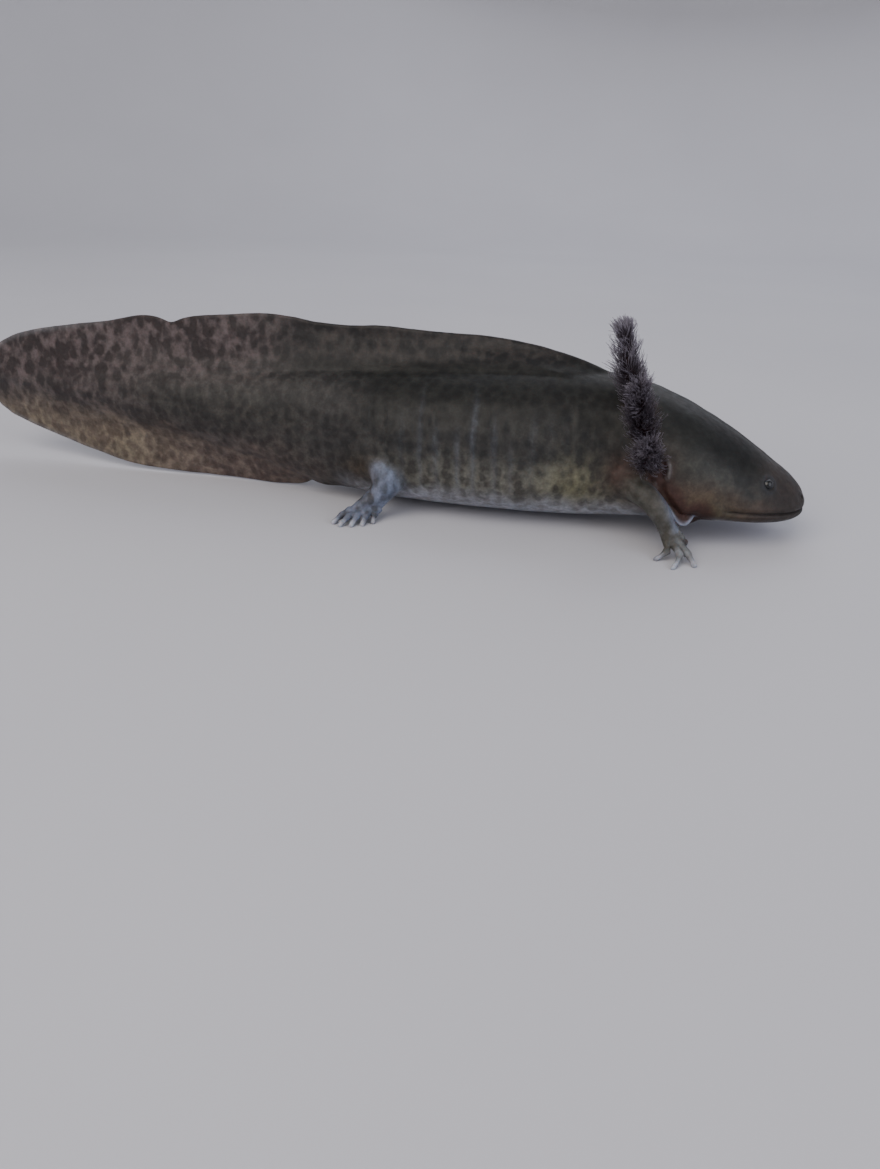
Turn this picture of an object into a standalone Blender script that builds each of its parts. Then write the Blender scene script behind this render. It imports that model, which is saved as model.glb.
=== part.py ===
"""Axolotl, life size, standing still on four feet with its tail held just clear of the floor.

Sizes below are in millimetres and become metres where a mesh is made. The snout points along +X, the
animal's right side is -Y, and the floor is Z = 0. X = 0 is half way between snout and tail tip.
"""

import math

import bmesh
import bpy
import numpy as np

MM = 0.001
GAP = 0.3  # between neighbouring pieces

# Driving dimensions
SNOUT_X, SNOUT_HEIGHT = 115.0, 8.8
NECK_X = 71.0  # head meets torso
VENT_X = -12.0  # torso meets tail
TAIL_TIP_X = -115.0
CORE_END_X = -112.5  # the tail's flesh stops here, inside the fin
TAIL_SWAY = 7.0  # how far the tail tip curves to the left side
SWAY_START_X = -20.0

# Body sections: x, half width, height of the widest line, back, belly.
# On the head the widest line is the mouth line.
BODY_SECTIONS = np.array([
    (114.75, 2.6, 8.8, 10.6, 7.1),
    (114.1, 4.9, 8.8, 12.1, 6.4),
    (112.6, 7.6, 8.9, 14.0, 5.7),
    (110.0, 10.4, 9.0, 16.3, 5.1),
    (105.5, 13.4, 9.3, 19.3, 4.8),
    (99.0, 16.2, 9.9, 23.7, 5.1),
    (90.0, 18.4, 11.0, 28.8, 5.3),
    (82.0, 19.2, 12.4, 32.7, 4.7),
    (75.0, 18.6, 13.8, 35.3, 3.6),
    (68.0, 17.4, 15.2, 36.8, 2.4),
    (60.0, 17.8, 16.2, 37.7, 1.6),
    (50.0, 19.2, 17.0, 37.8, 1.2),
    (35.0, 20.0, 17.6, 37.3, 1.1),
    (20.0, 19.2, 18.0, 36.3, 1.1),
    (8.0, 16.8, 18.4, 35.4, 1.4),
    (-2.0, 13.6, 18.9, 34.7, 2.0),
    (-12.0, 11.2, 19.4, 34.0, 3.0),
    (-25.0, 9.4, 20.0, 33.1, 6.2),
    (-40.0, 7.8, 20.5, 32.0, 9.1),
    (-60.0, 5.9, 21.2, 30.5, 12.4),
    (-80.0, 4.0, 21.9, 28.7, 15.7),
    (-97.0, 2.3, 22.6, 26.4, 19.0),
    (-108.0, 1.2, 23.0, 24.6, 21.4),
    (-115.0, 0.5, 23.2, 23.8, 22.6),
])

# Fin edges: x, height. The upper edge has the small nick that the real tail shows.
UPPER_FIN_EDGE = np.array([
    (69.0, 35.6), (62.0, 38.4), (55.0, 40.8), (45.0, 43.0), (35.0, 44.2), (20.0, 44.7),
    (5.0, 45.2), (-4.0, 44.6), (-12.0, 44.9), (-22.0, 46.2), (-38.0, 45.2), (-49.0, 43.5),
    (-52.5, 42.3), (-56.0, 43.2), (-74.0, 40.8), (-88.0, 38.6), (-98.0, 36.5), (-105.0, 34.2),
    (-109.5, 31.8), (-112.6, 28.8), (-114.3, 26.0), (-115.0, 23.8),
])
LOWER_FIN_EDGE = np.array([
    (-13.0, 2.6), (-16.0, 1.3), (-21.0, 0.6), (-33.0, 0.5), (-46.0, 0.6), (-58.0, 1.0),
    (-67.0, 1.5), (-79.0, 3.6), (-89.0, 5.8), (-98.0, 8.0), (-105.0, 10.2), (-110.0, 12.4),
    (-113.0, 15.2), (-114.4, 18.6), (-115.0, 22.4),
])
DORSAL_FIN_START_X, LOWER_FIN_START_X, FIN_END_X = 67.0, -13.0, -114.7
FIN_MIDDLE = 23.2  # the height at which both tail fins meet past the flesh
FIN_ROOT_HALF = 1.3  # half thickness where the fin leaves the body
FIN_EDGE_HALF = 0.45
FIN_SINK = 2.2  # how deep the blade starts inside the flesh
FIN_PITCH = 5.0  # spacing of the blade's sections

# Degrees round a section, from the mouth line up over the back, and down under the belly
UPPER_ANGLES = (0, 4, 10, 18, 28, 39, 51, 64, 77, 90)
LOWER_ANGLES = (4, 10, 20, 33, 48, 63, 77, 90)
BODY_ROUNDNESS = 2.15  # exponent of the section's superellipse, 2 is an ellipse

# Head
MOUTH_CORNER_X = 95.0
MOUTH_DEPTH = 0.9
LIP_SWELL = 0.45
HEAD_PITCH = 2.0
EYE_X, EYE_HEIGHT, EYE_RADIUS = 104.0, 16.4, 1.55
EYE_SINK = 0.8  # how far the eyeball's centre lies under the skin
NOSTRIL_X, NOSTRIL_SIDE, NOSTRIL_HEIGHT, NOSTRIL_RADIUS = 113.5, 4.3, 11.6, 0.75

# Torso: vertical costal grooves between fore and hind legs
GROOVE_COUNT = 13
GROOVE_FIRST_X, GROOVE_PITCH = 61.0, 4.6
GROOVE_DEPTH = 0.55

# Right legs from hip or shoulder to palm: x, y, z, half width, half thickness. The left ones mirror them.
FORE_PATH = ((66.5, -10.0, 14.8, 4.0, 4.2), (69.2, -14.8, 14.8, 3.7, 3.9), (72.8, -18.4, 14.4, 3.1, 3.1),
             (76.2, -20.6, 12.9, 2.8, 2.8), (78.9, -21.6, 10.2, 2.6, 2.5), (81.0, -22.0, 6.9, 2.3, 2.1),
             (82.2, -22.2, 5.0, 2.7, 1.7), (83.0, -22.6, 3.6, 2.6, 1.0))
HIND_PATH = ((4.2, -7.0, 13.0, 5.0, 5.0), (7.4, -12.2, 12.9, 4.9, 4.6), (10.6, -15.4, 11.8, 4.5, 4.0),
             (12.0, -17.0, 9.4, 4.3, 3.4), (10.4, -17.9, 6.9, 4.2, 2.7), (8.1, -19.4, 4.6, 4.3, 2.0),
             (6.4, -21.0, 2.8, 4.3, 1.1))
FORE_WRIST, HIND_WRIST = 5, 4  # which point of each path is the wrist or ankle
FORE_ACROSS, HIND_ACROSS = (0.77, 0.56, 0.32), (0.92, 0.38, 0.0)  # the way the toes stand in a row
# Toes, first toe first: tip x, y, then knuckle x, y
FORE_TOES = ((86.6, -15.2, 85.9, -18.4), (88.0, -28.2, 86.3, -25.4), (83.0, -30.9, 84.4, -27.0),
             (79.2, -26.8, 81.5, -25.4))
HIND_TOES = ((9.2, -22.2, 9.3, -20.8), (7.0, -24.4, 7.5, -22.5), (4.5, -25.8, 5.4, -23.6),
             (1.8, -26.4, 3.4, -24.2), (-0.4, -25.0, 1.6, -23.6))
KNUCKLE_HEIGHT = 2.1
TOE_RADII = (1.15, 0.85, 0.6)  # root, knuckle, tip
TOE_REST_HEIGHT = 0.42  # the toe's centre line over the floor, so its pad is cut flat
FLOOR_BLOCK = (400.0, 200.0, 20.0)  # the block under the floor that cuts the toe pads flat
LIMB_SIDES, TOE_SIDES = 14, 8
LEFT_FORE_SHIFT, LEFT_HIND_SHIFT = -5.0, 4.0  # how far along the body the left feet stand

# Gills: root and tip of each stalk, how far it arches back, and the side its middle row stands on
GILLS = {
    "upper_right": ((72.8, -10.0, 29.5), (65.8, -14.5, 52.0), 1.0, (0.0, -1.0, 0.2)),
    "middle_right": ((75.0, -12.0, 24.0), (70.5, -26.5, 40.1), 1.2, (0.0, -1.0, 0.6)),
    "lower_right": ((76.4, -12.5, 18.5), (74.2, -31.3, 28.2), 1.2, (0.0, 0.0, 1.0)),
    "upper_left": ((72.8, 10.0, 29.5), (69.7, 25.9, 34.4), 1.2, (0.0, 0.0, 1.0)),
    "middle_left": ((75.0, 12.0, 24.0), (68.0, 31.8, 28.3), 1.4, (0.0, 0.0, 1.0)),
    "lower_left": ((76.4, 12.5, 18.5), (73.3, 32.3, 21.2), 1.2, (0.0, 0.0, 1.0)),
}
STALK_ROOT_RADIUS, STALK_TIP_RADIUS = 2.3, 1.0
STALK_SIDES = 8
FILAMENTS_PER_ROW = 9
FILAMENT_ROWS = (-95, 0, 95)  # degrees round the stalk from the side its middle row stands on
FILAMENT_LENGTH = 4.2
FILAMENT_RADIUS = 0.42
FILAMENT_SIDES = 4

SHARP_ANGLE = 50  # degrees between faces that meet in a sharp edge

COLOURS = {
    "skin_olive": ((0.055, 0.048, 0.036), 0.42),
    "skin_tail": ((0.090, 0.070, 0.062), 0.42),
    "skin_foot": ((0.130, 0.135, 0.125), 0.40),
    "gill_maroon": ((0.050, 0.026, 0.030), 0.38),
    "eye_dark": ((0.008, 0.009, 0.012), 0.12),
}


def clear_scene():
    for obj in list(bpy.data.objects):
        bpy.data.objects.remove(obj)


def collection_of(name):
    made = bpy.data.collections.new(name)
    bpy.context.scene.collection.children.link(made)
    return made


def material_of(name):
    found = bpy.data.materials.get(name)
    if found:
        return found
    colour, roughness = COLOURS[name]
    made = bpy.data.materials.new(name)
    made.use_nodes = True
    shader = made.node_tree.nodes["Principled BSDF"]
    shader.inputs["Base Color"].default_value = (*colour, 1)
    shader.inputs["Roughness"].default_value = roughness
    shader.inputs["Metallic"].default_value = 0
    return made


def curve_through(points, x):
    """The smooth curve through (x, value) points, in order of x, read at x: a cubic whose slope at each
    point is that of its two neighbours."""
    order = np.argsort(points[:, 0])
    px, values = points[order, 0], points[order, 1:]
    slopes = np.gradient(values, px, axis=0)
    x = np.atleast_1d(np.asarray(x, float)).clip(px[0], px[-1])
    i = np.searchsorted(px, x, side="right").clip(1, len(px) - 1) - 1
    span = (px[i + 1] - px[i])[:, None]
    t = ((x - px[i])[:, None]) / span
    start, end = values[i], values[i + 1]
    return ((2 * t**3 - 3 * t**2 + 1) * start + (t**3 - 2 * t**2 + t) * span * slopes[i]
            + (3 * t**2 - 2 * t**3) * end + (t**3 - t**2) * span * slopes[i + 1])


def sway(x):
    """How far the spine lies to the left at x: zero on the body, then a growing curve to the tail tip."""
    share = np.clip((SWAY_START_X - np.asarray(x, float)) / (SWAY_START_X - TAIL_TIP_X), 0, None)
    return TAIL_SWAY * share**2


def ring_angles():
    """Angles of a section's points in degrees, once round: 0 is the right side, 90 the back."""
    upper = list(UPPER_ANGLES) + [180 - a for a in reversed(UPPER_ANGLES[:-1])]
    lower = [180 + a for a in LOWER_ANGLES] + [360 - a for a in reversed(LOWER_ANGLES[:-1])]
    return np.radians(upper + lower)


def groove_depth(x):
    """Costal grooves: a wave along the flank, zero outside the row of grooves."""
    last = GROOVE_FIRST_X - GROOVE_PITCH * (GROOVE_COUNT - 1)
    if not last - 0.1 <= x <= GROOVE_FIRST_X + 0.1:
        return 0.0
    return GROOVE_DEPTH * math.cos(math.pi * (GROOVE_FIRST_X - x) / GROOVE_PITCH) ** 2


def mouth_share(x):
    """1 along the mouth, fading to 0 at its corner."""
    return float(np.clip((x - MOUTH_CORNER_X) / 5.0 + 0.35, 0, 1))


def body_ring(x, grow=0.0, detail=True):
    """The body's section at x, as points round it. grow sets the surface out by that many millimetres."""
    half, widest, back, belly = curve_through(BODY_SECTIONS, x)[0]
    half, back, belly = half + grow, back + grow, belly - grow
    angle = ring_angles()
    across = np.sign(np.cos(angle)) * np.abs(np.cos(angle)) ** (2 / BODY_ROUNDNESS)
    up = np.sign(np.sin(angle)) * np.abs(np.sin(angle)) ** (2 / BODY_ROUNDNESS)
    inset = groove_depth(x) * np.abs(np.cos(angle)) * (np.abs(np.sin(angle)) < 0.93) * detail
    if x > NECK_X and detail:
        from_mouth = np.degrees(np.abs(np.arcsin(np.sin(angle).clip(-1, 1))))
        groove = MOUTH_DEPTH * (from_mouth < 2)
        lip = LIP_SWELL * np.exp(-(((from_mouth - 10) / 6) ** 2)) * (from_mouth > 2)
        inset = (groove - lip) * mouth_share(x) * min(1.0, half / 5)
    y = -(half * across - inset * np.sign(across)) + sway(x)
    z = widest + np.where(up > 0, (back - widest) * up, (widest - belly) * up)
    return np.column_stack([np.full_like(y, x), y, z])


def mesh_object(name, points, faces, home):
    mesh = bpy.data.meshes.new(name)
    mesh.from_pydata([tuple(p) for p in np.asarray(points) * MM], [], faces)
    mesh.validate()
    obj = bpy.data.objects.new(name, mesh)
    home.objects.link(obj)
    tidy = bmesh.new()
    tidy.from_mesh(mesh)
    bmesh.ops.recalc_face_normals(tidy, faces=tidy.faces)
    bmesh.ops.triangulate(tidy, faces=[f for f in tidy.faces if len(f.verts) > 4])
    tidy.to_mesh(mesh)
    tidy.free()
    return obj


def loft(name, rings, home, tip=None, start=None):
    """A closed skin over rings of equal count. tip and start are end points; without one the end is flat."""
    rings = [np.asarray(r, float) for r in rings]
    count, sides = len(rings), len(rings[0])
    points = list(np.concatenate(rings))
    faces = []
    for i in range(count - 1):
        for j in range(sides):
            a, b = i * sides + j, i * sides + (j + 1) % sides
            faces.append((a, b, b + sides, a + sides))
    for end, row in ((start, 0), (tip, count - 1)):
        ring = [row * sides + j for j in range(sides)]
        if end is None:
            points.append(rings[row].mean(axis=0))
        else:
            points.append(np.asarray(end, float))
        centre = len(points) - 1
        faces += [(ring[j], ring[(j + 1) % sides], centre) for j in range(sides)]
    return mesh_object(name, points, faces, home)


def tube_rings(path, sides, across, cut=None):
    """Elliptical rings along a path of (x, y, z, half width, half thickness). The width lies along
    across, and the thickness square to it and to the path. The rings numbered in cut share one direction."""
    path = np.asarray(path, float)
    centre = path[:, :3]
    ahead = np.gradient(centre, axis=0)
    if cut is not None:
        ahead[list(cut)] = ahead[list(cut)].sum(axis=0)
    across = np.asarray(across, float) / np.linalg.norm(across)
    depth = np.cross(ahead, across)
    depth /= np.linalg.norm(depth, axis=1)[:, None]
    turn = np.arange(sides) * 2 * math.pi / sides
    return [c + np.outer(np.cos(turn) * p[3], across) + np.outer(np.sin(turn) * p[4], d)
            for c, p, d in zip(centre, path, depth)]


def fused(base, pieces):
    """Joins pieces to base in one Boolean union, and removes them."""
    group = bpy.data.collections.new(base.name + "_pieces")
    for piece in pieces:
        for home in list(piece.users_collection):
            home.objects.unlink(piece)
        group.objects.link(piece)
    union = base.modifiers.new("union", "BOOLEAN")
    union.operation = "UNION"
    union.operand_type = "COLLECTION"
    union.collection = group
    union.solver = "MANIFOLD"
    apply_all(base)
    for piece in list(group.objects):
        bpy.data.objects.remove(piece)
    bpy.data.collections.remove(group)
    return base


def carved(base, cutter):
    cut = base.modifiers.new("cut", "BOOLEAN")
    cut.operation = "DIFFERENCE"
    cut.object = cutter
    cut.solver = "MANIFOLD"
    apply_all(base)
    return base


def apply_all(obj):
    """Replaces the object's mesh by its evaluated one, keeping only the largest closed surface."""
    bpy.context.view_layer.update()
    graph = bpy.context.evaluated_depsgraph_get()
    mesh = bpy.data.meshes.new_from_object(obj.evaluated_get(graph))
    obj.modifiers.clear()
    obj.data = mesh
    work = bmesh.new()
    work.from_mesh(mesh)
    bmesh.ops.remove_doubles(work, verts=work.verts, dist=0.0000001)
    islands, seen = [], set()
    for first in work.faces:
        if first.index in seen:
            continue
        island, queue = [], [first]
        seen.add(first.index)
        while queue:
            face = queue.pop()
            island.append(face)
            for edge in face.edges:
                for other in edge.link_faces:
                    if other.index not in seen:
                        seen.add(other.index)
                        queue.append(other)
        islands.append(island)
    islands.sort(key=lambda island: sum(f.calc_area() for f in island))
    loose = [face for island in islands[:-1] for face in island]
    bmesh.ops.delete(work, geom=loose, context="FACES")
    work.to_mesh(mesh)
    work.free()


def finish(obj, material):
    obj.data.materials.clear()
    obj.data.materials.append(material_of(material))
    obj.data.shade_smooth()
    obj.data.set_sharp_from_angle(angle=math.radians(SHARP_ANGLE))
    return obj


def mirrored(name, obj, home):
    """A copy reflected to the left side."""
    mesh = obj.data.copy()
    mesh.transform(((1, 0, 0, 0), (0, -1, 0, 0), (0, 0, 1, 0), (0, 0, 0, 1)))
    mesh.flip_normals()
    made = bpy.data.objects.new(name, mesh)
    home.objects.link(made)
    return made


def head_stations():
    front = [114.75, 114.1, 113.0, 111.4]
    count = int((front[-1] - NECK_X) / HEAD_PITCH)
    return front + list(np.linspace(front[-1], NECK_X + GAP / 2, count + 1)[1:])


def torso_stations():
    last = GROOVE_FIRST_X - GROOVE_PITCH * (GROOVE_COUNT - 1)
    front = [NECK_X - GAP / 2, 68.5, 65.5]
    grooves = list(np.arange(GROOVE_FIRST_X, last - 0.1, -GROOVE_PITCH / 2))
    return front + grooves + list(np.linspace(last, VENT_X + GAP / 2, 6)[1:])


def tail_stations():
    return list(np.linspace(VENT_X - GAP / 2, CORE_END_X, 17))


def body_cutter(home):
    """The whole body's flesh set out by the gap: what legs, gills and fins are cut back to."""
    stations = head_stations() + torso_stations() + tail_stations()
    rings = [body_ring(x, GAP, detail=False) for x in stations]
    return loft("body_cutter", rings, home, start=(SNOUT_X + GAP, 0, SNOUT_HEIGHT),
                tip=(CORE_END_X - 1, float(sway(CORE_END_X)), FIN_MIDDLE))


def body_nodes(home):
    snout = (SNOUT_X, 0, SNOUT_HEIGHT)
    head = loft("head", [body_ring(x) for x in head_stations()], home, start=snout)
    torso = loft("torso", [body_ring(x) for x in torso_stations()], home)
    tail = loft("tail", [body_ring(x) for x in tail_stations()], home,
                tip=(CORE_END_X - 0.6, float(sway(CORE_END_X)), FIN_MIDDLE))
    return head, torso, tail


def surface_point(x, z):
    """The point and outward normal of the right side's skin at x and height z."""
    def side(x, z):
        half, widest, back, belly = curve_through(BODY_SECTIONS, x)[0]
        reach = (z - widest) / ((back if z > widest else belly) - widest)
        return -half * max(0.0, 1 - reach**BODY_ROUNDNESS) ** (1 / BODY_ROUNDNESS) + float(sway(x))
    here = np.array([x, side(x, z), z])
    normal = np.array([(side(x + 0.3, z) - side(x - 0.3, z)) / 0.6, -1.0,
                       (side(x, z + 0.3) - side(x, z - 0.3)) / 0.6])
    return here, normal / np.linalg.norm(normal)


def ball(name, centre, radius, home, segments=14, rings=9, squash=(1, 1, 1)):
    work = bmesh.new()
    bmesh.ops.create_uvsphere(work, u_segments=segments, v_segments=rings, radius=radius * MM)
    mesh = bpy.data.meshes.new(name)
    for v in work.verts:
        v.co = [c * s + p * MM for c, s, p in zip(v.co, squash, centre)]
    work.to_mesh(mesh)
    work.free()
    obj = bpy.data.objects.new(name, mesh)
    home.objects.link(obj)
    return obj


def eyes_and_nostrils(head, home, cutters):
    """Each eyeball sits in a socket in the head. The nostrils are shallow pits on the snout."""
    skin, normal = surface_point(EYE_X, EYE_HEIGHT)
    centre = skin - normal * EYE_SINK
    right = ball("eye_right", centre, EYE_RADIUS, home)
    socket = ball("socket", centre, EYE_RADIUS + GAP, cutters)
    carved(head, socket)
    carved(head, mirrored("socket_left", socket, cutters))
    left = mirrored("eye_left", right, home)
    for side in (-1, 1):
        pit = ball("nostril", (NOSTRIL_X, side * NOSTRIL_SIDE, NOSTRIL_HEIGHT), NOSTRIL_RADIUS,
                   cutters, segments=8, rings=6, squash=(1.2, 1, 0.9))
        carved(head, pit)
    return right, left


def fin_blade(name, first_x, last_x, edge, upper, home):
    """A blade from inside the flesh out to the fin's edge, thick at its root and thin at its rim."""
    count = max(2, int(abs(first_x - last_x) / FIN_PITCH))
    edge_x = [x for x in edge[:, 0] if last_x < x < first_x]
    stations = sorted(set(np.round(np.linspace(first_x, last_x, count + 1), 2)) | set(edge_x), reverse=True)
    stations = [x for i, x in enumerate(stations) if i == 0 or stations[i - 1] - x > 1.2 or x == last_x]
    side = 1 if upper else -1
    rings = []
    for x in stations:
        half, widest, back, belly = curve_through(BODY_SECTIONS, x)[0]
        rim = float(curve_through(edge, x)[0][0])
        if upper:
            root = max(back - FIN_SINK, FIN_MIDDLE + GAP / 2 if x < CORE_END_X + 3 else widest + GAP / 2)
            rim = max(rim, root + 0.4)
        else:
            root = min(belly + FIN_SINK, FIN_MIDDLE - GAP / 2 if x < CORE_END_X + 3 else widest - GAP / 2)
            rim = min(rim, root - 0.4)
        thin = min(1.0, abs(rim - root) / 6)
        thick = FIN_EDGE_HALF + (FIN_ROOT_HALF - FIN_EDGE_HALF) * thin
        thick = min(thick, max(FIN_EDGE_HALF, half))
        profile = ((-thick, 0), (-(thick + FIN_EDGE_HALF) / 2, 0.55), (-FIN_EDGE_HALF, 0.93), (0, 1),
                   (FIN_EDGE_HALF, 0.93), ((thick + FIN_EDGE_HALF) / 2, 0.55), (thick, 0))
        shift = float(sway(x))
        ring = [(x, side * y + shift, root + (rim - root) * share) for y, share in profile]
        rings.append(np.array(ring))
    return loft(name, rings, home)


def through(points, steps):
    """A smooth path through the points, with that many steps from each to the next."""
    points = np.asarray(points, float)
    count = np.arange(len(points))
    return curve_through(np.column_stack([count, points]), np.linspace(0, count[-1], count[-1] * steps + 1))


def toe(name, root, tip, knuckle, cutters):
    """A toe that leaves the palm, bends at its knuckle and lays its pad on the floor."""
    bends = ((*root, TOE_RADII[0]), (*knuckle, KNUCKLE_HEIGHT, TOE_RADII[1]),
             (*tip, TOE_REST_HEIGHT, TOE_RADII[2]))
    path = through(bends, 2)
    path[:, 2] = np.maximum(path[:, 2], TOE_REST_HEIGHT)
    along = path[-1, :3] - path[-2, :3]
    beyond = path[-1, :3] + along / np.linalg.norm(along) * TOE_RADII[2]
    beyond[2] = TOE_REST_HEIGHT
    rings = tube_rings(path[:, [0, 1, 2, 3, 3]], TOE_SIDES, np.cross(path[-1, :3] - path[0, :3], (0, 0, 1)))
    return loft(name, rings, cutters, tip=beyond)


def limb(kind, side, path, wrist, across, toes, shift, home, cutters, body, floor):
    """One leg and its foot, built for the right side and reflected for the left. shift moves the foot
    along the body, and the leg leans with it."""
    path = np.asarray(path, float).copy()
    path[:, 0] += shift * np.linspace(0, 1, len(path))
    steps = 2
    smooth = through(path, steps)
    cut = wrist * steps
    along = smooth[cut + 1, :3] - smooth[cut - 1, :3]
    along *= GAP / 2 / np.linalg.norm(along)
    above, below = smooth[cut].copy(), smooth[cut].copy()
    above[:3] -= along
    below[:3] += along
    smooth = np.array([*smooth[:cut], above, below, *smooth[cut + 1:]])
    rings = tube_rings(smooth, LIMB_SIDES, across, cut=(cut, cut + 1))
    leg = loft(f"{kind}_leg", rings[:cut + 1], cutters)
    palm = smooth[-1]
    palm_tip = palm[:3] + (palm[:3] - smooth[-2, :3]) * 0.4
    foot = loft(f"{kind}_foot", rings[cut + 1:], cutters, tip=palm_tip)
    row = np.asarray(across) / np.linalg.norm(across)
    digits = []
    for i, place in enumerate(np.linspace(1, -1, len(toes))):
        x, y, knuckle_x, knuckle_y = toes[i]
        root = palm[:3] + row * place * (palm[3] - TOE_RADII[0] * 0.7) - along / GAP
        digits.append(toe(f"toe_{i}", root, (x + shift, y), (knuckle_x + shift, knuckle_y), cutters))
    foot = fused(foot, digits)
    carved(foot, floor)
    carved(leg, body)
    made = []
    for piece, part in ((leg, "leg"), (foot, "foot")):
        name = f"{kind}_{part}_{side}"
        if side == "left":
            made.append(mirrored(name, piece, home))
            bpy.data.objects.remove(piece)
        else:
            piece.name = name
            cutters.objects.unlink(piece)
            home.objects.link(piece)
            made.append(piece)
    return made


def filament(name, root, out, along, length, radius, cutters):
    """A gill filament: a tapered thread that leaves the stalk and curls towards the stalk's tip."""
    end = root + out * length * 0.72 + along * length * 0.69
    middle = root + out * length * 0.5 + along * length * 0.18
    path = [(*root, radius, radius), (*middle, radius * 0.72, radius * 0.72)]
    rings = tube_rings(path, FILAMENT_SIDES, np.cross(out, along))
    return loft(name, rings, cutters, tip=end)


def gill(name, root, tip, arch, crest, seed, cutters):
    """One gill: a tapered stalk, arched backwards, with rows of filaments along it."""
    draw = np.random.default_rng(seed)
    root, tip = np.asarray(root, float), np.asarray(tip, float)
    axis = (tip - root) / np.linalg.norm(tip - root)
    crest = np.asarray(crest, float)
    crest = crest - axis * (axis @ crest)
    crest /= np.linalg.norm(crest)
    flank = np.cross(axis, crest)
    backward = flank if flank[0] < 0 else -flank

    def centre(share):
        return root + (tip - root) * share + backward * arch * math.sin(math.pi * share)

    def thickness(share):
        return STALK_ROOT_RADIUS + (STALK_TIP_RADIUS - STALK_ROOT_RADIUS) * share**1.5

    path = [(*centre(s), thickness(s), thickness(s)) for s in np.linspace(0, 1, 6)]
    stalk = loft(name, tube_rings(path, STALK_SIDES, backward), cutters,
                 tip=centre(1.0) + axis * STALK_TIP_RADIUS)
    threads = []
    for row, degrees in enumerate(FILAMENT_ROWS):
        for i in range(FILAMENTS_PER_ROW):
            share = 0.36 + 0.62 * (i + 0.3 * (row % 2) + draw.uniform(-0.15, 0.15)) / FILAMENTS_PER_ROW
            share = min(share, 0.97)
            turn = math.radians(degrees + draw.uniform(-12, 12))
            out = crest * math.cos(turn) + backward * math.sin(turn)
            start = centre(share) + out * thickness(share) * 0.35
            length = FILAMENT_LENGTH * (0.75 + 0.35 * math.sin(math.pi * share)) * draw.uniform(0.85, 1.1)
            threads.append(filament(f"thread_{row}_{i}", start, out, axis, length + thickness(share) * 0.5,
                                    FILAMENT_RADIUS, cutters))
    return fused(stalk, threads)


def gills(home, cutters, body):
    made = []
    for order, (place, (root, tip, arch, crest)) in enumerate(GILLS.items()):
        piece = gill(f"gill_{place}", root, tip, arch, crest, 20 + order, cutters)
        carved(piece, body)
        cutters.objects.unlink(piece)
        home.objects.link(piece)
        made.append(piece)
    return made


def floor_cutter(cutters):
    bpy.ops.mesh.primitive_cube_add(size=1, location=(0, 0, -FLOOR_BLOCK[2] / 2 * MM))
    floor = bpy.context.object
    floor.name = "floor_cutter"
    floor.scale = [side * MM for side in FLOOR_BLOCK]
    bpy.ops.object.transform_apply(location=True, rotation=True, scale=True)
    for home in list(floor.users_collection):
        home.objects.unlink(floor)
    cutters.objects.link(floor)
    return floor


def main():
    clear_scene()
    home = collection_of("axolotl")
    cutters = collection_of("cutters")
    body = body_cutter(cutters)
    floor = floor_cutter(cutters)
    head, torso, tail = body_nodes(home)
    eyes = eyes_and_nostrils(head, home, cutters)
    fins = [
        fin_blade("dorsal_fin", DORSAL_FIN_START_X, VENT_X + GAP / 2, UPPER_FIN_EDGE, True, home),
        fin_blade("tail_fin_upper", VENT_X - GAP / 2, FIN_END_X, UPPER_FIN_EDGE, True, home),
        fin_blade("tail_fin_lower", LOWER_FIN_START_X, FIN_END_X, LOWER_FIN_EDGE, False, home),
    ]
    for fin in fins:
        carved(fin, body)
    legs = []
    for side, fore_shift, hind_shift in (("right", 0, 0), ("left", LEFT_FORE_SHIFT, LEFT_HIND_SHIFT)):
        legs += limb("fore", side, FORE_PATH, FORE_WRIST, FORE_ACROSS, FORE_TOES, fore_shift,
                     home, cutters, body, floor)
        legs += limb("hind", side, HIND_PATH, HIND_WRIST, HIND_ACROSS, HIND_TOES, hind_shift,
                     home, cutters, body, floor)
    feathery = gills(home, cutters, body)
    for obj in (head, torso):
        finish(obj, "skin_olive")
    for obj in (tail, *fins):
        finish(obj, "skin_tail")
    for obj in legs:
        finish(obj, "skin_foot")
    for obj in feathery:
        finish(obj, "gill_maroon")
    for obj in eyes:
        finish(obj, "eye_dark")
    for obj in list(cutters.objects):
        obj.hide_render = True
        obj.display_type = "WIRE"


main()
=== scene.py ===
from types import SimpleNamespace

import bpy
import numpy as np
from mathutils import Matrix, Vector


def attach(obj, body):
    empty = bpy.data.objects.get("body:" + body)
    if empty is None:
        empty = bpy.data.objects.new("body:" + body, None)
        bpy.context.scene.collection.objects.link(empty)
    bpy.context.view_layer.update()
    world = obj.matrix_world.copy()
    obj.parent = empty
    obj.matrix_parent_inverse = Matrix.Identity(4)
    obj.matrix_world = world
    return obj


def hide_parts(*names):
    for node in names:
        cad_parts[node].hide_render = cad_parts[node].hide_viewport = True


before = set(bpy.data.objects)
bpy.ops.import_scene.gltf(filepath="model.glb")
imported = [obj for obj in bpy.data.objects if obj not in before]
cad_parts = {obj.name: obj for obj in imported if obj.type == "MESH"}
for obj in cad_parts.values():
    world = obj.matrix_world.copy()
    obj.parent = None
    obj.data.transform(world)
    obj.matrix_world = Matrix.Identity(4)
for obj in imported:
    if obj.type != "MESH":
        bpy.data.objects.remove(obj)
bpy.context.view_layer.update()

scene = bpy.context.scene
mm = 0.001  # sizes are in millimetres; X runs to the snout, -Y is the right side


def hexColour(code):
    # sRGB hex to linear colour
    part = np.array([int(code[i:i + 2], 16) / 255 for i in (1, 3, 5)])
    linear = np.where(part <= 0.04045, part / 12.92, ((part + 0.055) / 1.055) ** 2.4)
    return (*(float(v) for v in linear), 1)


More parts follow.
